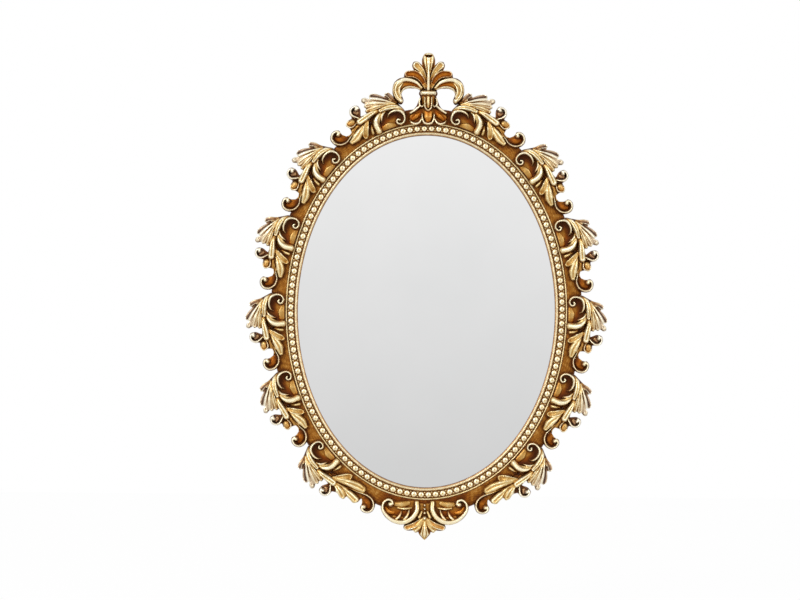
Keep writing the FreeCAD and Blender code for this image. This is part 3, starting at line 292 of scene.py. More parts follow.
PENDANT_PALMETTE_STROKES = [
    ("blade", [(1.0, 25.0), (4.6, 29.6), (7.0, 32.4)], [2.6, 3.6, 3.0], [5.0, 5.8, 5.2]),
    ("blade", [(2.0, 33.0), (3.4, 35.4)], [2.0, 1.6], [5.2, 4.6]),
    ("round", [(2.4, 18.6), (4.2, 22.6)], [1.2, 1.8], [3.4, 4.6]),
    ("dished", [(3.4, 25.2), (8.2, 28.8), (13.8, 30.6)], [1.5, 2.6, 2.4], [5.2, 7.0, 5.8]),
    ("round", [(2.8, 30.0), (6.8, 33.0)], [1.3, 1.9], [5.8, 6.6]),
]
PENDANT_PALMETTE_MIDDLE_STROKES = [
    ("veined", [(0.0, 26.4), (0.0, 31.4), (0.0, 35.6), (0.0, 38.6)],
     [1.4, 2.6, 4.0, 1.8], [5.8, 8.0, 7.8, 5.6]),
    ("round", [(0.0, 23.3), (0.0, 23.4)], [1.8, 1.8], [7.0, 7.0]),
    ("round", [(0.0, 19.3), (0.0, 19.4)], [1.2, 1.2], [4.8, 4.8]),
    ("round", [(0.0, 16.2), (0.0, 16.3)], [1.05, 1.05], [4.4, 4.4]),
    ("round", [(0.0, 13.4), (0.0, 13.5)], [0.95, 0.95], [4.0, 4.0]),
]

# Amber in hollows, partly lacquer gathered there and partly a painted glow of light thrown back inside
# them, with painted shade: middle line, half widths, then how amber and how much darker
SCROLL_LACQUER_AND_SHADE = [
    ([(4.6, 16.6), (8.6, 18.8), (14.0, 18.4), (19.8, 15.6)], [2.4, 2.8, 3.0, 2.6], 0.4, 0.2),
    ([(14.0, 17.0), (19.4, 16.0), (22.0, 13.4)], [1.2, 2.0, 1.8], 0.85, 0.0),
]
SHORT_LEAF_LACQUER_AND_SHADE = [
    ([(51.4, 21.2), (55.0, 23.4), (56.0, 26.2)], [2.2, 2.8, 2.0], 0.6, 0.14),
    ([(49.0, 20.2), (54.0, 19.6), (57.4, 21.8)], [1.8, 2.0, 1.8], 0.2, 0.14),
    ([(39.8, 27.2), (42.0, 27.6)], [2.4, 2.4], 0.12, 0.1),
]
LONG_LEAF_LACQUER_AND_SHADE = [
    ([(61.8, 21.2), (65.6, 23.4), (66.6, 26.2)], [2.2, 2.8, 2.0], 0.6, 0.14),
    ([(59.6, 20.2), (64.6, 19.6), (68.0, 21.8)], [1.8, 2.0, 1.8], 0.2, 0.14),
]
PEDESTAL_LACQUER_AND_SHADE = [([(5.6, 18.4), (8.0, 16.0), (12.4, 12.4)], [2.2, 3.0, 2.4], 0.7, 0.18)]
PEDESTAL_MIDDLE_LACQUER_AND_SHADE = [([(0.0, 17.6), (0.0, 11.6)], [3.4, 2.6], 0.65, 0.06)]
PALMETTE_LACQUER_AND_SHADE = [
    ([(4.0, 40.4), (9.0, 46.0), (16.4, 47.4)], [2.0, 3.0, 3.0], 0.8, 0.0),
    ([(9.0, 38.4), (13.0, 39.4), (18.4, 39.2)], [1.2, 1.6, 1.4], 0.85, 0.0),
]
PENDANT_SCROLL_LACQUER_AND_SHADE = [
    ([(11.0, 20.4), (18.0, 19.6), (25.0, 19.0), (30.0, 15.4)], [2.4, 3.0, 3.0, 2.0], 0.7, 0.0),
]
PENDANT_PALMETTE_LACQUER_AND_SHADE = [([(6.0, 27.4), (13.8, 30.4)], [2.2, 2.2], 0.5, 0.0)]

# Cross-sections of strokes: flatness of the top, then place, width and depth of rims and grooves
FLATNESS = {"round": 2, "ribbed": 3, "veined": 3, "rim": 4, "blade": 4, "dished": 6, "hollow": 6}
RAISED_RIMS = {"dished": (0.72, 0.24, 0.3), "hollow": (0.74, 0.2, 0.58)}
GROOVES = {"ribbed": (0.0, 0.22, 0.2), "veined": (0.4, 0.13, 0.24)}
# A groove cut round some strokes into what lies beside them, and the bowl of a hollow one
UNDERCUT_KINDS = ("ribbed", "veined", "hollow")
UNDERCUT = (1.05, 0.12, 0.2)
FADE_RATE = 3
BOWL_WIDTH = 0.75
BOWL_START = 0.2

# Relief in millimetres: its grid, floor, rounded wall, edges drawn in and softening
GRID = 0.25
GRID_MARGIN = 4.0
CURVE_STEP = 0.2
FLOOR_HEIGHT = 1.8
WALL_ROUND = 1.1
LEAF_INSET = 0.45
OTHER_INSET = 0.12
BLUR = 0.16
# Reach of a stroke in half widths, least share of height at an edge, sharp edges in degrees
STROKE_REACH = 1.4
LEAST_EDGE = 0.62
SHARP_ANGLE = 60
TINY = 1e-9

# Tones of the relief: dark in its hollows, partly patina and partly painted shade, with painted highlight
# on its ridges and outer edge, and where they change
MIDDLE_TONE = 0.49
MIDDLE_HEIGHT = 5.0
HEIGHT_SHADE_AND_HIGHLIGHT = 0.034
FINE_REACH = 0.7
FINE_PATINA_SHADE_HIGHLIGHT = 0.24
BROAD_REACH = 2.4
BROAD_PATINA_SHADE_HIGHLIGHT = 0.1
EDGE_WIDTH = 1.0
EDGE_START = 18.0
EDGE_FADE = 6.0
EDGE_HIGHLIGHT = 0.2
LEAST_TONE = 0.1
MOST_TONE = 0.84
BACK_TONE = 0.17
PALE_START = 28.0
PALE_FADE = 8.0
COVER_REACH = 1.5

# Section of the moulding's lip: distance from the sight edge, rise and tone, with painted shade at the
# sight edge and beside the channel and a painted highlight on its round
LIP_INSIDE = [(0.0, 0.0, 0.2), (0.35, 0.1, 0.4), (0.75, 0.2, 0.46)]
LIP_OUTSIDE = [(2.25, 0.1, 0.4), (LIP_WIDTH, -0.2, 0.26)]
LIP_CENTRE = 1.45
LIP_RISE = 0.1
LIP_RADIUS = 0.65
LIP_HIGHLIGHT_TONE = 0.67
LIP_PALE = 0.4

# Other members of the moulding, with painted shade in the channel, its corners and the groove by the
# fillet, a painted highlight on the fillet, and the painted shade beside the ornaments on its field
STATIONS = 900
CHANNEL_STEPS = 6
CHANNEL_SHADE_TONE = 0.25
CORNER_SHADE_TONE = 0.1
HIDDEN_TONE = 0.05
FILLET_RADIUS = 0.5
FILLET_SIDE_SHADE_TONE = 0.3
FILLET_HIGHLIGHT_TONE = 0.65
FIELD_STEPS = 26
FIELD_SINK = 0.1
FIELD_CORNER_SHADE_TONE = 0.16
FIELD_TONE = 0.31
FIELD_STAIN = 0.1
OUTER_TONE = 0.28
SIDE_TONE = 0.2
BACK_EDGE_TONE = 0.16
REBATE_TONE = 0.14
LEAF_SHADE = 0.42
END_SHADE = 0.2
END_SHADE_AMBER = 0.4
END_FADE = 8
MOTTLE_TONE = 0.08
MOTTLE_SWAY = 2
MOTTLE_WAVES = (83, 131)
MOTTLE_ACROSS = (2.1, 1.3)

# Pearls, a little fuller than their solids, and the dots between them, each toned with a painted reflection
# and shade: darker at its top and foot, a bright ring between
BEAD_RADIUS = 2.4
BEAD_TONE = 0.9
BEAD_RISE = 0.92
BEAD_FULLNESS = 0.8
BEAD_REFLECTION_DARK_SHARE = 0.55
BEAD_SIDES = 20
BEAD_RINGS = 7
DOT_RADIUS = 0.65
DOT_TONE = 0.68
DOT_OFFSET = 1.75

# Gilding from dark, for patina and painted shade, to light, for painted highlight, plain and under amber
# that is partly lacquer and partly painted glow
GOLD_STOPS = [
    (0.0, (0.065, 0.02, 0.005)),
    (0.16, (0.125, 0.038, 0.006)),
    (0.32, (0.29, 0.12, 0.022)),
    (0.45, (0.45, 0.26, 0.08)),
    (0.58, (0.61, 0.455, 0.21)),
    (0.72, (0.78, 0.66, 0.41)),
    (0.9, (0.9, 0.83, 0.62)),
]
AMBER_STOPS = [
    (0.0, (0.075, 0.016, 0.003)),
    (0.25, (0.25, 0.06, 0.006)),
    (0.45, (0.46, 0.15, 0.018)),
    (0.7, (0.7, 0.4, 0.12)),
]


# The oval


def oval_points(turn, outward):
    """X and Z, in millimetres, at an angle from the top and a distance outward from the sight edge."""
    normal_x = half_height * np.sin(turn)
    normal_z = half_width * np.cos(turn)
    length = np.hypot(normal_x, normal_z)
    x = half_width * np.sin(turn) + outward * normal_x / length
    z = half_height * np.cos(turn) + outward * normal_z / length + centre_z
    return x, z


class OvalRule:
    """Turns a distance along the oval, offset from the sight edge, into an angle from the top."""

    def __init__(self, offset, steps=2880):
        self.turns = np.linspace(0, 2 * math.pi, steps + 1)
        x, z = oval_points(self.turns, offset)
        self.marks = np.concatenate([[0], np.cumsum(np.hypot(np.diff(x), np.diff(z)))])
        self.total = self.marks[-1]

    def turn(self, distance):
        return np.interp(distance, self.marks, self.turns)

    def distance(self, turn):
        return np.interp(turn, self.turns, self.marks)


def in_metres(x, y, z):
    return np.stack([x, y, z], axis=-1) * MM


leaf_rule = OvalRule((seat_start + MOULDING_WIDTH) / 2 + ORNAMENT_CLEARANCE)


def leaf_stretch(number):
    """Where a leaf starts, measured from the top, and how far its drawing is stretched along the oval."""
    free = leaf_rule.total / 2 - CREST_HALF_LENGTH - PENDANT_HALF_LENGTH
    pitch = (free - LAST_LEAF_EXTRA) / LEAVES_PER_SIDE
    start = CREST_HALF_LENGTH + (number - 1) * pitch
    if number < LEAVES_PER_SIDE:
        return start, (pitch - LEAF_GAP) / LEAF_LENGTH
    return start, (pitch + LAST_LEAF_EXTRA - LEAF_GAP) / LONG_LEAF_LENGTH


def leaf_placer(number, side):
    """Bends a leaf's drawing along the oval. Side 1 is right, -1 left."""
    start, stretch = leaf_stretch(number)

    def place(u, v, height):
        x, z = oval_points(leaf_rule.turn(start + u * stretch), seat_start + v - LEAF_FOOT)
        return in_metres(side * x, seat_y - height, z)

    return place


def flat_placer(direction, side=1):
    """Sets a drawing upright at the top (direction 1) or upside down at the bottom (-1)."""

    def place(u, v, height):
        out = half_height + seat_start + v - LEAF_FOOT
        return in_metres(side * u, seat_y - height, centre_z + direction * out)

    return place


# Relief drawing


def distances_along(points):
    return np.concatenate([[0], np.cumsum(np.linalg.norm(np.diff(points, axis=0), axis=1))])


def curve_through(points, step=CURVE_STEP):
    """Points along a smooth curve, their distances along it and those of the given points."""
    given = np.array(points, float)
    knots = distances_along(given)
    slopes = np.gradient(given, knots, axis=0)
    at = np.linspace(0, knots[-1], max(2, math.ceil(knots[-1] / step) + 1))
    i = np.clip(np.searchsorted(knots, at, side="right") - 1, 0, len(knots) - 2)
    span = (knots[i + 1] - knots[i])[:, None]
    t = (at - knots[i])[:, None] / span
    curve = (
        (2 * t**3 - 3 * t**2 + 1) * given[i]
        + (t**3 - 2 * t**2 + t) * span * slopes[i]
        + (3 * t**2 - 2 * t**3) * given[i + 1]
        + (t**3 - t**2) * span * slopes[i + 1]
    )
    return curve, at, knots


def reflected(line):
    return [(-u, v) for u, v in line]


def both_halves(edges):
    return edges + [reflected(stretch)[::-1] for stretch in edges[::-1]]


def both_strokes(strokes):
    return strokes + [(kind, reflected(line), *sizes) for kind, line, *sizes in strokes]


def both_lacquer_and_shade(lacquer_and_shade):
    return lacquer_and_shade + [(reflected(line), *strengths) for line, *strengths in lacquer_and_shade]


def soften(field, sigma, mask):
    """Gaussian blur that takes nothing from outside the mask."""
    reach = max(1, math.ceil(3 * sigma / GRID))
    taps = np.exp(-0.5 * (np.arange(-reach, reach + 1) * GRID / sigma) ** 2)

    def blur(values):
        for axis in (0, 1):
            spread = np.zeros_like(values)
            pads = [(reach, reach) if a == axis else (0, 0) for a in (0, 1)]
            wide = np.pad(values, pads)
            for i, tap in enumerate(taps):
                window = [slice(None), slice(None)]
                window[axis] = slice(i, i + values.shape[axis])
                spread += tap * wide[tuple(window)]
            values = spread
        return values

    weight = mask.astype(float)
    return blur(field * weight) / np.maximum(blur(weight), TINY)


def nearest_on(u, v, start, run):
    """The place on a straight run that is nearest to each point, as a share of the run."""
    share = ((u - start[0]) * run[0] + (v - start[1]) * run[1]) / max(run @ run, TINY)
    return np.clip(share, 0, 1)


def beside(aside, place, width):
    """1 on a line beside a stroke's middle line, fading away from it."""
    return np.exp(-(((aside - place) / width) ** 2))


def fade_in(along_share):
    return np.clip(FADE_RATE * along_share, 0, 1)


def section(kind, aside, along_share):
    """Height across a stroke as a share of its middle height, with aside from 0 there to 1 at the edge."""
    height = np.sqrt(np.clip(1 - aside ** FLATNESS[kind], 0, 1))
    if kind in RAISED_RIMS:
        place, width, share = RAISED_RIMS[kind]
        height *= 1 - share + share * beside(aside, place, width)
    if kind in GROOVES:
        place, width, share = GROOVES[kind]
        height *= 1 - share * fade_in(along_share) * beside(aside, place, width)
    return height


class Relief:
    """A relief on a grid of its drawing: heights, tones with painted shade and highlight, amber that is
    partly lacquer and partly painted glow, and the way to its outline.
    """

    def __init__(self, edges, strokes, lacquer_and_shade, inset, rubbed=0.0):
        outline = np.concatenate([curve_through(stretch, GRID)[0][:-1] for stretch in edges])
        low = np.floor((outline.min(0) - GRID_MARGIN) / GRID) * GRID
        high = outline.max(0) + GRID_MARGIN
        self.u = np.arange(low[0], high[0] + GRID, GRID)
        self.v = np.arange(low[1], high[1] + GRID, GRID)
        self.grid_u, self.grid_v = np.meshgrid(self.u, self.v)
        self.find_outline(outline, inset)
        self.rubbed = rubbed
        heights = np.full(self.grid_u.shape, FLOOR_HEIGHT)
        for stroke in strokes:
            self.raise_stroke(heights, *stroke)
        heights = soften(heights, BLUR, self.inside)
        self.set_tones(heights, lacquer_and_shade)
        roll = np.clip(self.depth / WALL_ROUND, 0, 1)
        self.heights = heights * (LEAST_EDGE + (1 - LEAST_EDGE) * np.sqrt(1 - (1 - roll) ** 2))
        self.cover = soften(self.inside.astype(float), COVER_REACH, np.ones(self.inside.shape))
        for border in (np.s_[0], np.s_[-1], np.s_[:, 0], np.s_[:, -1]):
            self.cover[border] = 0

    def set_tones(self, heights, lacquer_and_shade):
        fine = heights - soften(heights, FINE_REACH, self.inside)
        broad = heights - soften(heights, BROAD_REACH, self.inside)
        # Painted shade in hollows and low places and painted highlight on ridges and high places, over a
        # dark patina in the hollows
        tone = MIDDLE_TONE + FINE_PATINA_SHADE_HIGHLIGHT * fine + BROAD_PATINA_SHADE_HIGHLIGHT * broad + HEIGHT_SHADE_AND_HIGHLIGHT * (heights - MIDDLE_HEIGHT)
        # Painted highlight along the outer edge of the relief
        outer = np.clip((self.grid_v - EDGE_START) / EDGE_FADE, 0, 1)
        painted_edge_highlight = np.clip(1 - self.depth / EDGE_WIDTH, 0, 1) * outer
        self.tone = np.clip(tone + EDGE_HIGHLIGHT * painted_edge_highlight, LEAST_TONE, MOST_TONE)
        self.lacquer_and_glow = np.zeros(self.grid_u.shape)
        # Amber, partly lacquer and partly painted glow, and painted shade laid into the hollows
        for line, halves, amber, painted_shade in lacquer_and_shade:
            aside, _, window = self.across(line, halves)
            share = np.clip(1 - aside**2, 0, 1)
            self.lacquer_and_glow[window] = np.maximum(self.lacquer_and_glow[window], amber * share)
            self.tone[window] -= painted_shade * share

    def cover_at(self, u, v):
        """How much of the neighbourhood of a place on the drawing lies under the relief."""
        columns = np.clip(np.rint((u - self.u[0]) / GRID), 0, self.u.size - 1).astype(int)
        rows = np.clip(np.rint((v - self.v[0]) / GRID), 0, self.v.size - 1).astype(int)
        return self.cover[rows, columns]

    def near(self, points, reach):
        low_u, low_v = points.min(0) - reach
        high_u, high_v = points.max(0) + reach
        columns = slice(*np.searchsorted(self.u, [low_u, high_u]))
        rows = slice(*np.searchsorted(self.v, [low_v, high_v]))
        return rows, columns

    def find_outline(self, outline, inset):
        """Marks the points inside, with the distance and the nearest place on the outline near it."""
        reach = WALL_ROUND + inset + 2 * GRID
        self.depth = np.full(self.grid_u.shape, reach)
        self.edge_u = self.grid_u.copy()
        self.edge_v = self.grid_v.copy()
        crossings = np.zeros(self.grid_u.shape, int)
        for start, end in zip(outline, np.roll(outline, -1, axis=0)):
            run = end - start
            window = self.near(np.array([start, end]), reach)
            u = self.grid_u[window]
            v = self.grid_v[window]
            share = nearest_on(u, v, start, run)
            foot_u = start[0] + share * run[0]
            foot_v = start[1] + share * run[1]
            away = np.hypot(u - foot_u, v - foot_v)
            closer = away < self.depth[window]
            self.depth[window][closer] = away[closer]
            self.edge_u[window][closer] = foot_u[closer]
            self.edge_v[window][closer] = foot_v[closer]
            rows = (self.v > min(start[1], end[1])) & (self.v <= max(start[1], end[1]))
            if rows.any():
                at = start[0] + (self.v[rows] - start[1]) / run[1] * run[0]
                crossings[rows] += self.u[None, :] > at[:, None]
        self.inside = (crossings % 2 == 1) & (self.depth > inset)
        share = inset / np.maximum(self.depth, TINY)
        self.edge_u += (self.grid_u - self.edge_u) * share
        self.edge_v += (self.grid_v - self.edge_v) * share
        self.depth = np.maximum(self.depth - inset, 0)

    def across(self, line, halves):
        """Distance of grid points from a line, as a share of the half width, and place along it."""
        points, at, knots = curve_through(line)
        half = np.interp(at, knots, halves)
        window = self.near(points, STROKE_REACH * half.max())
        u = self.grid_u[window]
        v = self.grid_v[window]
        nearest = np.full(u.shape, np.inf)
        place = np.zeros(u.shape)
        for i in range(len(points) - 1):
            run = points[i + 1] - points[i]
            share = nearest_on(u, v, points[i], run)
            away = np.hypot(u - points[i, 0] - share * run[0], v - points[i, 1] - share * run[1])
            closer = away < nearest
            nearest[closer] = away[closer]
            place[closer] = (i + share)[closer]
        along = np.interp(place, np.arange(len(points)), at)
        return nearest / np.interp(along, knots, halves), along, window

    def raise_stroke(self, heights, kind, line, halves, tops):
        aside, along, window = self.across(line, halves)
        knots = distances_along(np.array(line))
        top = np.interp(along, knots, tops)
        if kind == "cut":
            heights[window] -= top * np.clip(1 - aside**2, 0, 1)
            return
        along_share = along / knots[-1]
        raised = FLOOR_HEIGHT + (top - FLOOR_HEIGHT) * section(kind, aside, along_share)
        raised[aside >= 1] = 0
        here = heights[window]
        if kind in UNDERCUT_KINDS:
            place, width, share = UNDERCUT
            line_round = beside(aside, place, width) * fade_in(along_share)
            here -= share * line_round * np.clip(here - FLOOR_HEIGHT, 0, None)
        if kind == "hollow":
            bowl = (aside < BOWL_WIDTH) & (along_share > BOWL_START)
            here[bowl] = raised[bowl]
        heights[window] = np.maximum(here, raised)

    def mesh(self, name, place, flip):
        """A closed mesh: relief in front, a wall along the outline and a flat back."""
        cells = self.inside[:-1, :-1] & self.inside[1:, :-1] & self.inside[:-1, 1:] & self.inside[1:, 1:]
        cells_round = np.zeros(self.inside.shape, int)
        for rows in (slice(None, -1), slice(1, None)):
            for columns in (slice(None, -1), slice(1, None)):
                cells_round[rows, columns] += cells
        used = cells_round > 0
        border = used & (cells_round < 4)
        u = np.where(border, self.edge_u, self.grid_u)[used]
        v = np.where(border, self.edge_v, self.grid_v)[used]
        count = u.size
        index = np.full(self.inside.shape, -1)
        index[used] = np.arange(count)
        front = np.stack([index[:-1, :-1], index[:-1, 1:], index[1:, 1:], index[1:, :-1]], axis=-1)[cells]
        back = front[:, ::-1] + count
        # A side of a cell is open where no neighbour runs along it the other way
        ends = np.roll(front, -1, axis=1)
        open_sides = ~np.isin(front * count + ends, ends * count + front).T
        start = front.T[open_sides]
        end = ends.T[open_sides]
        walls = np.stack([end, start, start + count, end + count], axis=-1)
        faces = np.concatenate([front, back, walls])
        if flip:
            faces = faces[:, ::-1]
        corners = np.concatenate([place(u, v, self.heights[used]), place(u, v, np.zeros(count))])
        tone = np.concatenate([self.tone[used], np.full(count, BACK_TONE)])
        lacquer_and_glow = np.concatenate([self.lacquer_and_glow[used], np.zeros(count)])
        pale = self.rubbed * np.clip((v - PALE_START) / PALE_FADE, 0, 1)
        return new_piece(name, corners, faces, tone, lacquer_and_glow, np.concatenate([pale, np.zeros(count)]))


def new_piece(name, corners, faces, tone, lacquer_and_glow, pale):
    mesh = bpy.data.meshes.new(name)
    mesh.from_pydata(corners.tolist(), [], [tuple(face) for face in faces])
    mesh.update()
    for attribute_name, values in (("tone", tone), ("lacquer_and_glow", lacquer_and_glow), ("pale", pale)):
        attribute = mesh.attributes.new(attribute_name, "FLOAT", "POINT")
        attribute.data.foreach_set("value", values.astype(np.float32))
    mesh.shade_smooth()
    mesh.set_sharp_from_angle(angle=math.radians(SHARP_ANGLE))
    piece = bpy.data.objects.new(name, mesh)
    bpy.context.scene.collection.objects.link(piece)
    return piece


# Materials


class Shading:
    """The nodes of a material or of the world."""

    def __init__(self, owner):
        owner.use_nodes = True
        self.owner = owner
        self.nodes = owner.node_tree.nodes
        self.links = owner.node_tree.links

    def feed(self, node, inputs):
        """Sets each input to a value, or links it to another node's output."""
        for name, value in inputs.items():
            if isinstance(value, bpy.types.NodeSocket):
                self.links.new(value, node.inputs[name])
            else:
                node.inputs[name].default_value = value

    def add(self, kind, inputs=None):
        node = self.nodes.new("ShaderNode" + kind)
        self.feed(node, inputs or {})
        return node

    def noise(self, scale, detail, roughness=0.6):
        place = self.add("TexCoord").outputs["Object"]
        inputs = {"Vector": place, "Scale": scale, "Detail": detail, "Roughness": roughness}
        return self.add("TexNoise", inputs).outputs["Fac"]

    def ramp(self, source, stops):
        node = self.add("ValToRGB", {"Fac": source})
        elements = node.color_ramp.elements
        while len(elements) < len(stops):
            elements.new(0.5)
        for element, (position, colour) in zip(elements, stops):
            element.position = position
            element.color = (*colour, 1)
        return node.outputs["Color"]

    def mapped(self, source, low, high):
        inputs = {"Value": source, "To Min": low, "To Max": high}
        return self.add("MapRange", inputs).outputs["Result"]

    def bump(self, source, strength, distance):
        inputs = {"Height": source, "Strength": strength, "Distance": distance}
        return self.add("Bump", inputs).outputs["Normal"]

    def point_value(self, name):
        node = self.add("Attribute")
        node.attribute_name = name
        return node.outputs["Fac"]

    def combined(self, operation, first, second):
        node = self.add("Math", {0: first, 1: second})
        node.operation = operation
        return node.outputs[0]

    def mixed(self, factor, first, second):
        """A mix of two colours."""
        node = self.add("Mix")
        node.data_type = "RGBA"
        self.feed(node, {0: factor, 6: first, 7: second})
        return node.outputs[2]


def gilt(name, wear_size, blotch, grain_size, grain_strength):
    """Gold over a brown ground: painted highlight on the ridges; in the hollows patina, painted shade and
    amber that is partly lacquer and partly painted glow.
    """
    shading = Shading(bpy.data.materials.new(name))
    wear = shading.noise(1 / (wear_size * MM), detail=6.0, roughness=0.65)
    shift = shading.mapped(wear, low=-blotch, high=blotch)
    tone = shading.combined("ADD", shading.point_value("tone"), shift)
    gold = shading.ramp(tone, GOLD_STOPS)
    amber = shading.ramp(tone, AMBER_STOPS)
    with_amber = shading.mixed(shading.point_value("lacquer_and_glow"), gold, amber)
    saturation = shading.mapped(shading.point_value("pale"), low=1.04, high=0.64)
    rubbed = shading.add("HueSaturation", {"Saturation": saturation, "Color": with_amber})
    grain = shading.noise(1 / (grain_size * MM), detail=3.0)
    inputs = {
        "Base Color": rubbed.outputs["Color"],
        "Roughness": shading.mapped(tone, low=0.55, high=0.24),
        "Metallic": 0.8,
        "Normal": shading.bump(grain, grain_strength, distance=0.0003),
    }
    shading.feed(shading.nodes["Principled BSDF"], inputs)
    return shading.owner


def surface(name, noise, stops, roughness, duller=None, metallic=0.0, bump=None):
    """A material whose colour and roughness follow a noise of some scale, detail and coarseness."""
    shading = Shading(bpy.data.materials.new(name))
    fine = shading.noise(*noise)
    inputs = {"Base Color": shading.ramp(fine, stops), "Metallic": metallic, "Roughness": roughness}
    if duller:
        inputs["Roughness"] = shading.mapped(fine, roughness, duller)
    if bump:
        inputs["Normal"] = shading.bump(fine, *bump)
    shading.feed(shading.nodes["Principled BSDF"], inputs)
    return shading.owner


def silvered_glass():
    stops = [(0.3, (0.93, 0.935, 0.935)), (0.7, (0.97, 0.97, 0.97))]
    return surface("silvered_glass", (9.0, 3.0), stops, roughness=0.012, duller=0.03, metallic=1.0)


def hardboard():
    stops = [(0.3, (0.13, 0.066, 0.03)), (0.55, (0.22, 0.12, 0.06)), (0.75, (0.3, 0.18, 0.095))]
    return surface("hardboard", (900.0, 6.0, 0.7), stops, roughness=0.72, bump=(0.35, 0.0003))


def plated_metal(name, low, high, roughness):
    stops = [(0.3, low), (0.7, high)]
    duller = roughness + 0.18
    return surface(name, (700.0, 5.0), stops, roughness, duller, metallic=1.0, bump=(0.08, 0.0002))


def black_rubber():
    stops = [(0.3, (0.012, 0.012, 0.012)), (0.7, (0.03, 0.03, 0.029))]
    return surface("black_rubber", (1500.0, 3.0), stops, roughness=0.65, bump=(0.2, 0.0002))


# Pieces


def dress(piece, node, material):
    piece.data.materials.append(material)
    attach(piece, "frame")
    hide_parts(node)


def make_ornaments(material):
    """The leaves, the crest and the pendant. Gives back the leaves, from the top down."""

    def leaf(edges, strokes, lacquer_and_shade):
        outline = SCROLL_FOOT + edges + SCROLL_TOP
        return Relief(outline, SCROLL_STROKES + strokes, SCROLL_LACQUER_AND_SHADE + lacquer_and_shade, LEAF_INSET, rubbed=1.0)

    def even(edges, strokes, middle_strokes, lacquer_and_shade):
        """A relief that is the same on both sides of its middle."""
        return Relief(both_halves(edges), both_strokes(strokes) + middle_strokes, lacquer_and_shade, OTHER_INSET)

    def add(node, relief, place, flip):
        dress(relief.mesh(f"{node}_gilt", place, flip), node, material)

    short = leaf(SHORT_LEAF_EDGE, SHORT_LEAF_STROKES, SHORT_LEAF_LACQUER_AND_SHADE)
    long = leaf(LONG_LEAF_EDGE, LONG_LEAF_STROKES, LONG_LEAF_LACQUER_AND_SHADE)
    leaves = [short] * (LEAVES_PER_SIDE - 1) + [long]
    for number, relief in enumerate(leaves, start=1):
        add(f"acanthus_right_{number}", relief, leaf_placer(number, 1), False)
        add(f"acanthus_left_{number}", relief, leaf_placer(number, -1), True)

    pedestal_lacquer_and_shade = both_lacquer_and_shade(PEDESTAL_LACQUER_AND_SHADE) + PEDESTAL_MIDDLE_LACQUER_AND_SHADE
    pedestal = even(PEDESTAL_EDGE, PEDESTAL_STROKES, PEDESTAL_MIDDLE_STROKES, pedestal_lacquer_and_shade)
    palmette_lacquer_and_shade = both_lacquer_and_shade(PALMETTE_LACQUER_AND_SHADE)
    palmette = even(PALMETTE_EDGE, PALMETTE_STROKES, PALMETTE_MIDDLE_STROKES, palmette_lacquer_and_shade)
    add("crest_pedestal", pedestal, flat_placer(1), False)
    add("crest_palmette", palmette, flat_placer(1), False)

    scroll = Relief(PENDANT_SCROLL_EDGE, PENDANT_SCROLL_STROKES, PENDANT_SCROLL_LACQUER_AND_SHADE, OTHER_INSET)
    hanging = even(
        PENDANT_PALMETTE_EDGE,
        PENDANT_PALMETTE_STROKES,
        PENDANT_PALMETTE_MIDDLE_STROKES,
        both_lacquer_and_shade(PENDANT_PALMETTE_LACQUER_AND_SHADE),
    )
    add("pendant_scroll_right", scroll, flat_placer(-1), True)
    add("pendant_scroll_left", scroll, flat_placer(-1, -1), False)
    add("pendant_palmette", hanging, flat_placer(-1), True)
    return leaves


def moulding_section():
    """The moulding's section: distance from the sight edge, depth and tone of each of its points."""
    front = seat_y
    floor = front + CHANNEL_DEPTH
    channel = LIP_WIDTH
    fillet = channel + CHANNEL_WIDTH
    field = fillet + FILLET_WIDTH
    edge = MOULDING_WIDTH - EDGE_ROUND
    profile = [(0.0, glass_face_y, HIDDEN_TONE)]

    def arc(centre, y, radius, first, last, tone, steps=10):
        """Adds a round, between two angles in degrees."""
        for i in range(1, steps + 1):
            angle = math.radians(first + (last - first) * i / steps)
            profile.append((centre - radius * math.cos(angle), y - radius * math.sin(angle), tone))

    # Painted shadow along the sight edge, painted highlight on the lip's round, painted shade down to the
    # channel
    profile += [(distance, front - rise, tone) for distance, rise, tone in LIP_INSIDE]
    arc(LIP_CENTRE, front - LIP_RISE, LIP_RADIUS, first=10, last=170, tone=LIP_HIGHLIGHT_TONE)
    profile += [(distance, front - rise, tone) for distance, rise, tone in LIP_OUTSIDE]
    profile.append((channel, floor, CORNER_SHADE_TONE))
    for i in range(1, CHANNEL_STEPS):
        profile.append((channel + CHANNEL_WIDTH * i / CHANNEL_STEPS, floor, CHANNEL_SHADE_TONE))
    profile.append((fillet, floor, CORNER_SHADE_TONE))
    profile.append((fillet, front, FILLET_SIDE_SHADE_TONE))
    arc(fillet + FILLET_WIDTH / 2, front, FILLET_RADIUS, first=0, last=180, tone=FILLET_HIGHLIGHT_TONE)
    profile.append((field, front + FIELD_SINK, FIELD_CORNER_SHADE_TONE))
    for i in range(2, FIELD_STEPS):
        share = i / FIELD_STEPS
        profile.append((field + (edge - field) * share, front, FIELD_TONE))
    arc(edge, front + EDGE_ROUND, EDGE_ROUND, first=90, last=180, tone=OUTER_TONE)
    profile += [
        (MOULDING_WIDTH, (front + back_y) / 2, SIDE_TONE),
        (MOULDING_WIDTH, back_y, BACK_EDGE_TONE),
        (REBATE_WIDTH, back_y, REBATE_TONE),
        (REBATE_WIDTH, glass_face_y, CORNER_SHADE_TONE),
    ]
    return np.array(profile).T


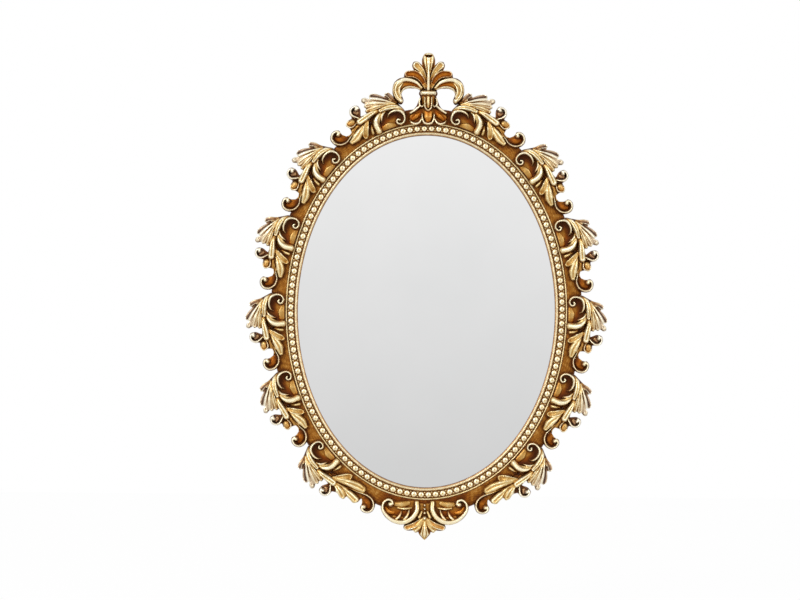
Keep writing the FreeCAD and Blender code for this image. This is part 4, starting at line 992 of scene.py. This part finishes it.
def make_moulding(material, leaves):
    """The core moulding's section, swept round the oval, with painted shade on its field along the
    ornaments.
    """
    offset, y, tone = moulding_section()
    turns = 2 * math.pi * np.arange(STATIONS) / STATIONS
    x, z = oval_points(turns[:, None], offset[None, :])
    corners = in_metres(x, np.broadcast_to(y, x.shape), z).reshape(-1, 3)
    tones = np.tile(tone, (STATIONS, 1))
    on_field = (offset > LIP_WIDTH + CHANNEL_WIDTH + FILLET_WIDTH) & (offset < MOULDING_WIDTH)
    along = leaf_rule.distance(np.minimum(turns, 2 * math.pi - turns))
    # Painted shadow of each leaf on the field beside it
    for number, leaf in enumerate(leaves, start=1):
        start, stretch = leaf_stretch(number)
        on_leaf = (along[:, None] - start) / stretch
        shade = leaf.cover_at(on_leaf, offset[None, :] - seat_start + LEAF_FOOT)
        tones[:, on_field] -= LEAF_SHADE * shade[:, on_field]
    # Painted shade, warmed with amber, where the field runs under the crest and the pendant
    beyond_crest = along - CREST_HALF_LENGTH
    before_pendant = leaf_rule.total / 2 - PENDANT_HALF_LENGTH - along
    under = np.clip(0.5 - np.minimum(beyond_crest, before_pendant) / END_FADE, 0, 1)[:, None]
    tones[:, on_field] -= END_SHADE * under
    sway = MOTTLE_SWAY * np.sin(MOTTLE_WAVES[0] * turns[:, None])
    mottle = np.sin(MOTTLE_ACROSS[0] * offset + sway)
    mottle = mottle * np.sin(MOTTLE_WAVES[1] * turns[:, None] + MOTTLE_ACROSS[1] * offset)
    tones[:, on_field] += MOTTLE_TONE * mottle[:, on_field]
    tones = np.maximum(tones, HIDDEN_TONE)
    index = np.arange(x.size).reshape(x.shape)
    outward = np.roll(index, -1, axis=1)
    faces = np.stack([index, np.roll(index, -1, axis=0), np.roll(outward, -1, axis=0), outward], axis=-1)
    lacquer_and_glow = np.where(on_field[None, :], FIELD_STAIN + END_SHADE_AMBER * under, 0.0)
    pale = np.tile(np.where(offset < LIP_WIDTH, LIP_PALE, 0.0), (STATIONS, 1))
    piece = new_piece(
        "oval_frame_gilt", corners, faces.reshape(-1, 4), tones.ravel(), lacquer_and_glow.ravel(), pale.ravel()
    )
    dress(piece, "oval_frame", material)


def make_beads(material):
    """Pearls in the channel, with a small dot each side of every gap."""
    offset = LIP_WIDTH + CHANNEL_WIDTH / 2
    floor = seat_y + CHANNEL_DEPTH
    rule = OvalRule(offset)
    corners = []
    faces = []
    tones = []

    def dome(x, z, radius, tone):
        first = len(corners)
        rise = BEAD_RISE * radius
        for ring in range(BEAD_RINGS):
            angle = math.pi / 2 * ring / BEAD_RINGS
            reach = radius * math.cos(angle) ** BEAD_FULLNESS
            y = floor - rise * math.sin(angle) ** BEAD_FULLNESS
            # Painted reflection and shade: darker at the top and foot, a bright ring between
            light = BEAD_REFLECTION_DARK_SHARE + (1 - BEAD_REFLECTION_DARK_SHARE) * math.sin(2 * angle)
            for i in range(BEAD_SIDES):
                turn = 2 * math.pi * i / BEAD_SIDES
                corners.append((x + reach * math.cos(turn), y, z + reach * math.sin(turn)))
                tones.append(tone * light)
        corners.append((x, floor - rise, z))
        tones.append(tone * BEAD_REFLECTION_DARK_SHARE)
        last = first + (BEAD_RINGS - 1) * BEAD_SIDES
        for ring in range(first, last, BEAD_SIDES):
            for i in range(BEAD_SIDES):
                here = ring + i
                following = ring + (i + 1) % BEAD_SIDES
                faces.append((here, following, following + BEAD_SIDES, here + BEAD_SIDES))
        for i in range(BEAD_SIDES):
            faces.append((last + i, last + (i + 1) % BEAD_SIDES, last + BEAD_SIDES))
        faces.append(tuple(first + i for i in range(BEAD_SIDES))[::-1])

    for i in range(BEAD_COUNT):
        x, z = oval_points(rule.turn((i + 0.5) * rule.total / BEAD_COUNT), offset)
        dome(x, z, BEAD_RADIUS, BEAD_TONE)
        for inward in (-1, 1):
            x, z = oval_points(rule.turn(i * rule.total / BEAD_COUNT), offset + inward * DOT_OFFSET)
            dome(x, z, DOT_RADIUS, DOT_TONE)
    plain = np.zeros(len(tones))
    piece = new_piece("sight_beads_gilt", np.array(corners) * MM, faces, np.array(tones), plain, plain)
    dress(piece, "sight_beads", material)


def finish_node(node, material):
    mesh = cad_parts[node].data
    mesh.materials.clear()
    mesh.materials.append(material)


def finish_hardware():
    """Glass, board and metal: the solids themselves, with their own materials."""
    zinc = plated_metal("zinc_plate", low=(0.5, 0.5, 0.49), high=(0.66, 0.66, 0.64), roughness=0.28)
    screw = plated_metal("screw_plate", low=(0.52, 0.49, 0.4), high=(0.68, 0.64, 0.52), roughness=0.26)
    rivet = plated_metal("rivet_metal", low=(0.62, 0.62, 0.63), high=(0.78, 0.78, 0.79), roughness=0.32)
    rubber = black_rubber()
    for number in range(1, BUTTON_COUNT + 1):
        finish_node(f"turn_button_{number}", zinc)
    finish_node("hanger_strap", zinc)
    finish_node("hanger_ring", zinc)
    finish_node("turn_button_screws", screw)
    finish_node("hanger_rivets", rivet)
    finish_node("wall_bumper_right", rubber)
    finish_node("wall_bumper_left", rubber)
    finish_node("backing_board", hardboard())
    finish_node("mirror_glass", silvered_glass())


# Stage


def make_camera():
    """Long lens, square to the glass and rolled a little. Lengths in millimetres."""
    picture_width = 624.0
    distance = 2600.0
    aim_x = -20.65
    aim_z = centre_z + 8.85
    roll = 0.5
    camera = bpy.data.cameras.new("camera")
    camera.sensor_width = 36.0
    camera.lens = camera.sensor_width * distance / picture_width
    camera.clip_end = 50.0
    holder = bpy.data.objects.new("camera", camera)
    holder.matrix_world = (
        Matrix.Translation(Vector((aim_x, seat_y - distance, aim_z)) * MM)
        @ Matrix.Rotation(math.radians(90), 4, "X")
        @ Matrix.Rotation(math.radians(roll), 4, "Z")
    )
    bpy.context.scene.collection.objects.link(holder)
    bpy.context.scene.camera = holder


def area_light(name, place, size, power):
    """A square lamp, turned to the middle of the glass."""
    light = bpy.data.lights.new(name, "AREA")
    light.shape = "SQUARE"
    light.size = size
    light.energy = power
    middle = Vector((0, 0, centre_z * MM))
    holder = bpy.data.objects.new(name, light)
    holder.location = place
    holder.rotation_mode = "QUATERNION"
    holder.rotation_quaternion = (middle - Vector(place)).to_track_quat("-Z", "Y")
    bpy.context.scene.collection.objects.link(holder)


def make_lights():
    area_light("key", place=(-1.3, -1.9, 1.1), size=0.9, power=25)
    area_light("fill", place=(1.6, -1.7, 0.5), size=1.2, power=14)
    area_light("low", place=(-0.9, -1.1, -0.1), size=0.5, power=2.5)


def seen_in_surfaces(shading, path):
    """1 for a ray that comes by way of metal or glass."""
    return shading.combined("MAXIMUM", path["Is Glossy Ray"], path["Is Transmission Ray"])


def make_world():
    """Pale room: white to the camera, in metal and glass lighter towards the top."""
    horizon = 0.16
    room_stops = [(0.0, (0.56, 0.56, 0.56)), (1.0, (1.0, 1.0, 1.0))]
    room_light = (0.8, 0.8, 0.8, 1)
    white = (1, 1, 1, 1)
    world = bpy.data.worlds.new("world")
    bpy.context.scene.world = world
    shading = Shading(world)
    direction = shading.add("TexCoord").outputs["Generated"]
    split = shading.add("SeparateXYZ", {0: direction})
    inputs = {"Value": split.outputs["Z"], "From Min": -horizon, "From Max": horizon}
    height = shading.add("MapRange", inputs)
    height.interpolation_type = "SMOOTHSTEP"
    room = shading.ramp(height.outputs["Result"], room_stops)
    path = shading.add("LightPath").outputs
    surroundings = shading.mixed(seen_in_surfaces(shading, path), room_light, room)
    colour = shading.mixed(path["Is Camera Ray"], surroundings, white)
    shading.feed(shading.nodes["Background"], {"Color": colour, "Strength": 1.0})


def make_floor():
    """Pale floor under the mirror. The camera sees it as white, with the mirror's shadow."""
    below = 0.06
    reach = 1.6
    glow_share = 0.96
    z = CAD_LOW.z - below
    corners = [(-reach, -reach, z), (reach, -reach, z), (reach, reach, z), (-reach, reach, z)]
    mesh = bpy.data.meshes.new("floor")
    mesh.from_pydata(corners, [], [(0, 1, 2, 3)])
    floor = bpy.data.objects.new("floor", mesh)
    bpy.context.scene.collection.objects.link(floor)
    shading = Shading(bpy.data.materials.new("floor"))
    matt = shading.nodes["Principled BSDF"]
    shading.feed(matt, {"Base Color": (0.85, 0.85, 0.85, 1), "Roughness": 0.9})
    glow = shading.add("Emission", {"Color": (1, 1, 1, 1)})
    path = shading.add("LightPath").outputs
    seen = shading.combined("MAXIMUM", path["Is Camera Ray"], seen_in_surfaces(shading, path))
    share = shading.mapped(seen, low=0.0, high=glow_share)
    mix = shading.add("MixShader", {0: share, 1: matt.outputs[0], 2: glow.outputs[0]})
    shading.feed(shading.nodes["Material Output"], {"Surface": mix.outputs[0]})
    mesh.materials.append(shading.owner)


make_camera()
ornament_gilt = gilt("gilt_ornament", wear_size=2.4, blotch=0.14, grain_size=0.5, grain_strength=0.2)
moulding_gilt = gilt("gilt_moulding", wear_size=3.6, blotch=0.22, grain_size=0.9, grain_strength=0.5)
bead_gilt = gilt("gilt_beads", wear_size=2.4, blotch=0.1, grain_size=0.6, grain_strength=0.15)
ornament_leaves = make_ornaments(ornament_gilt)
make_moulding(moulding_gilt, ornament_leaves)
make_beads(bead_gilt)
finish_hardware()
make_lights()
make_world()
make_floor()
bpy.context.scene.view_settings.view_transform = "Standard"
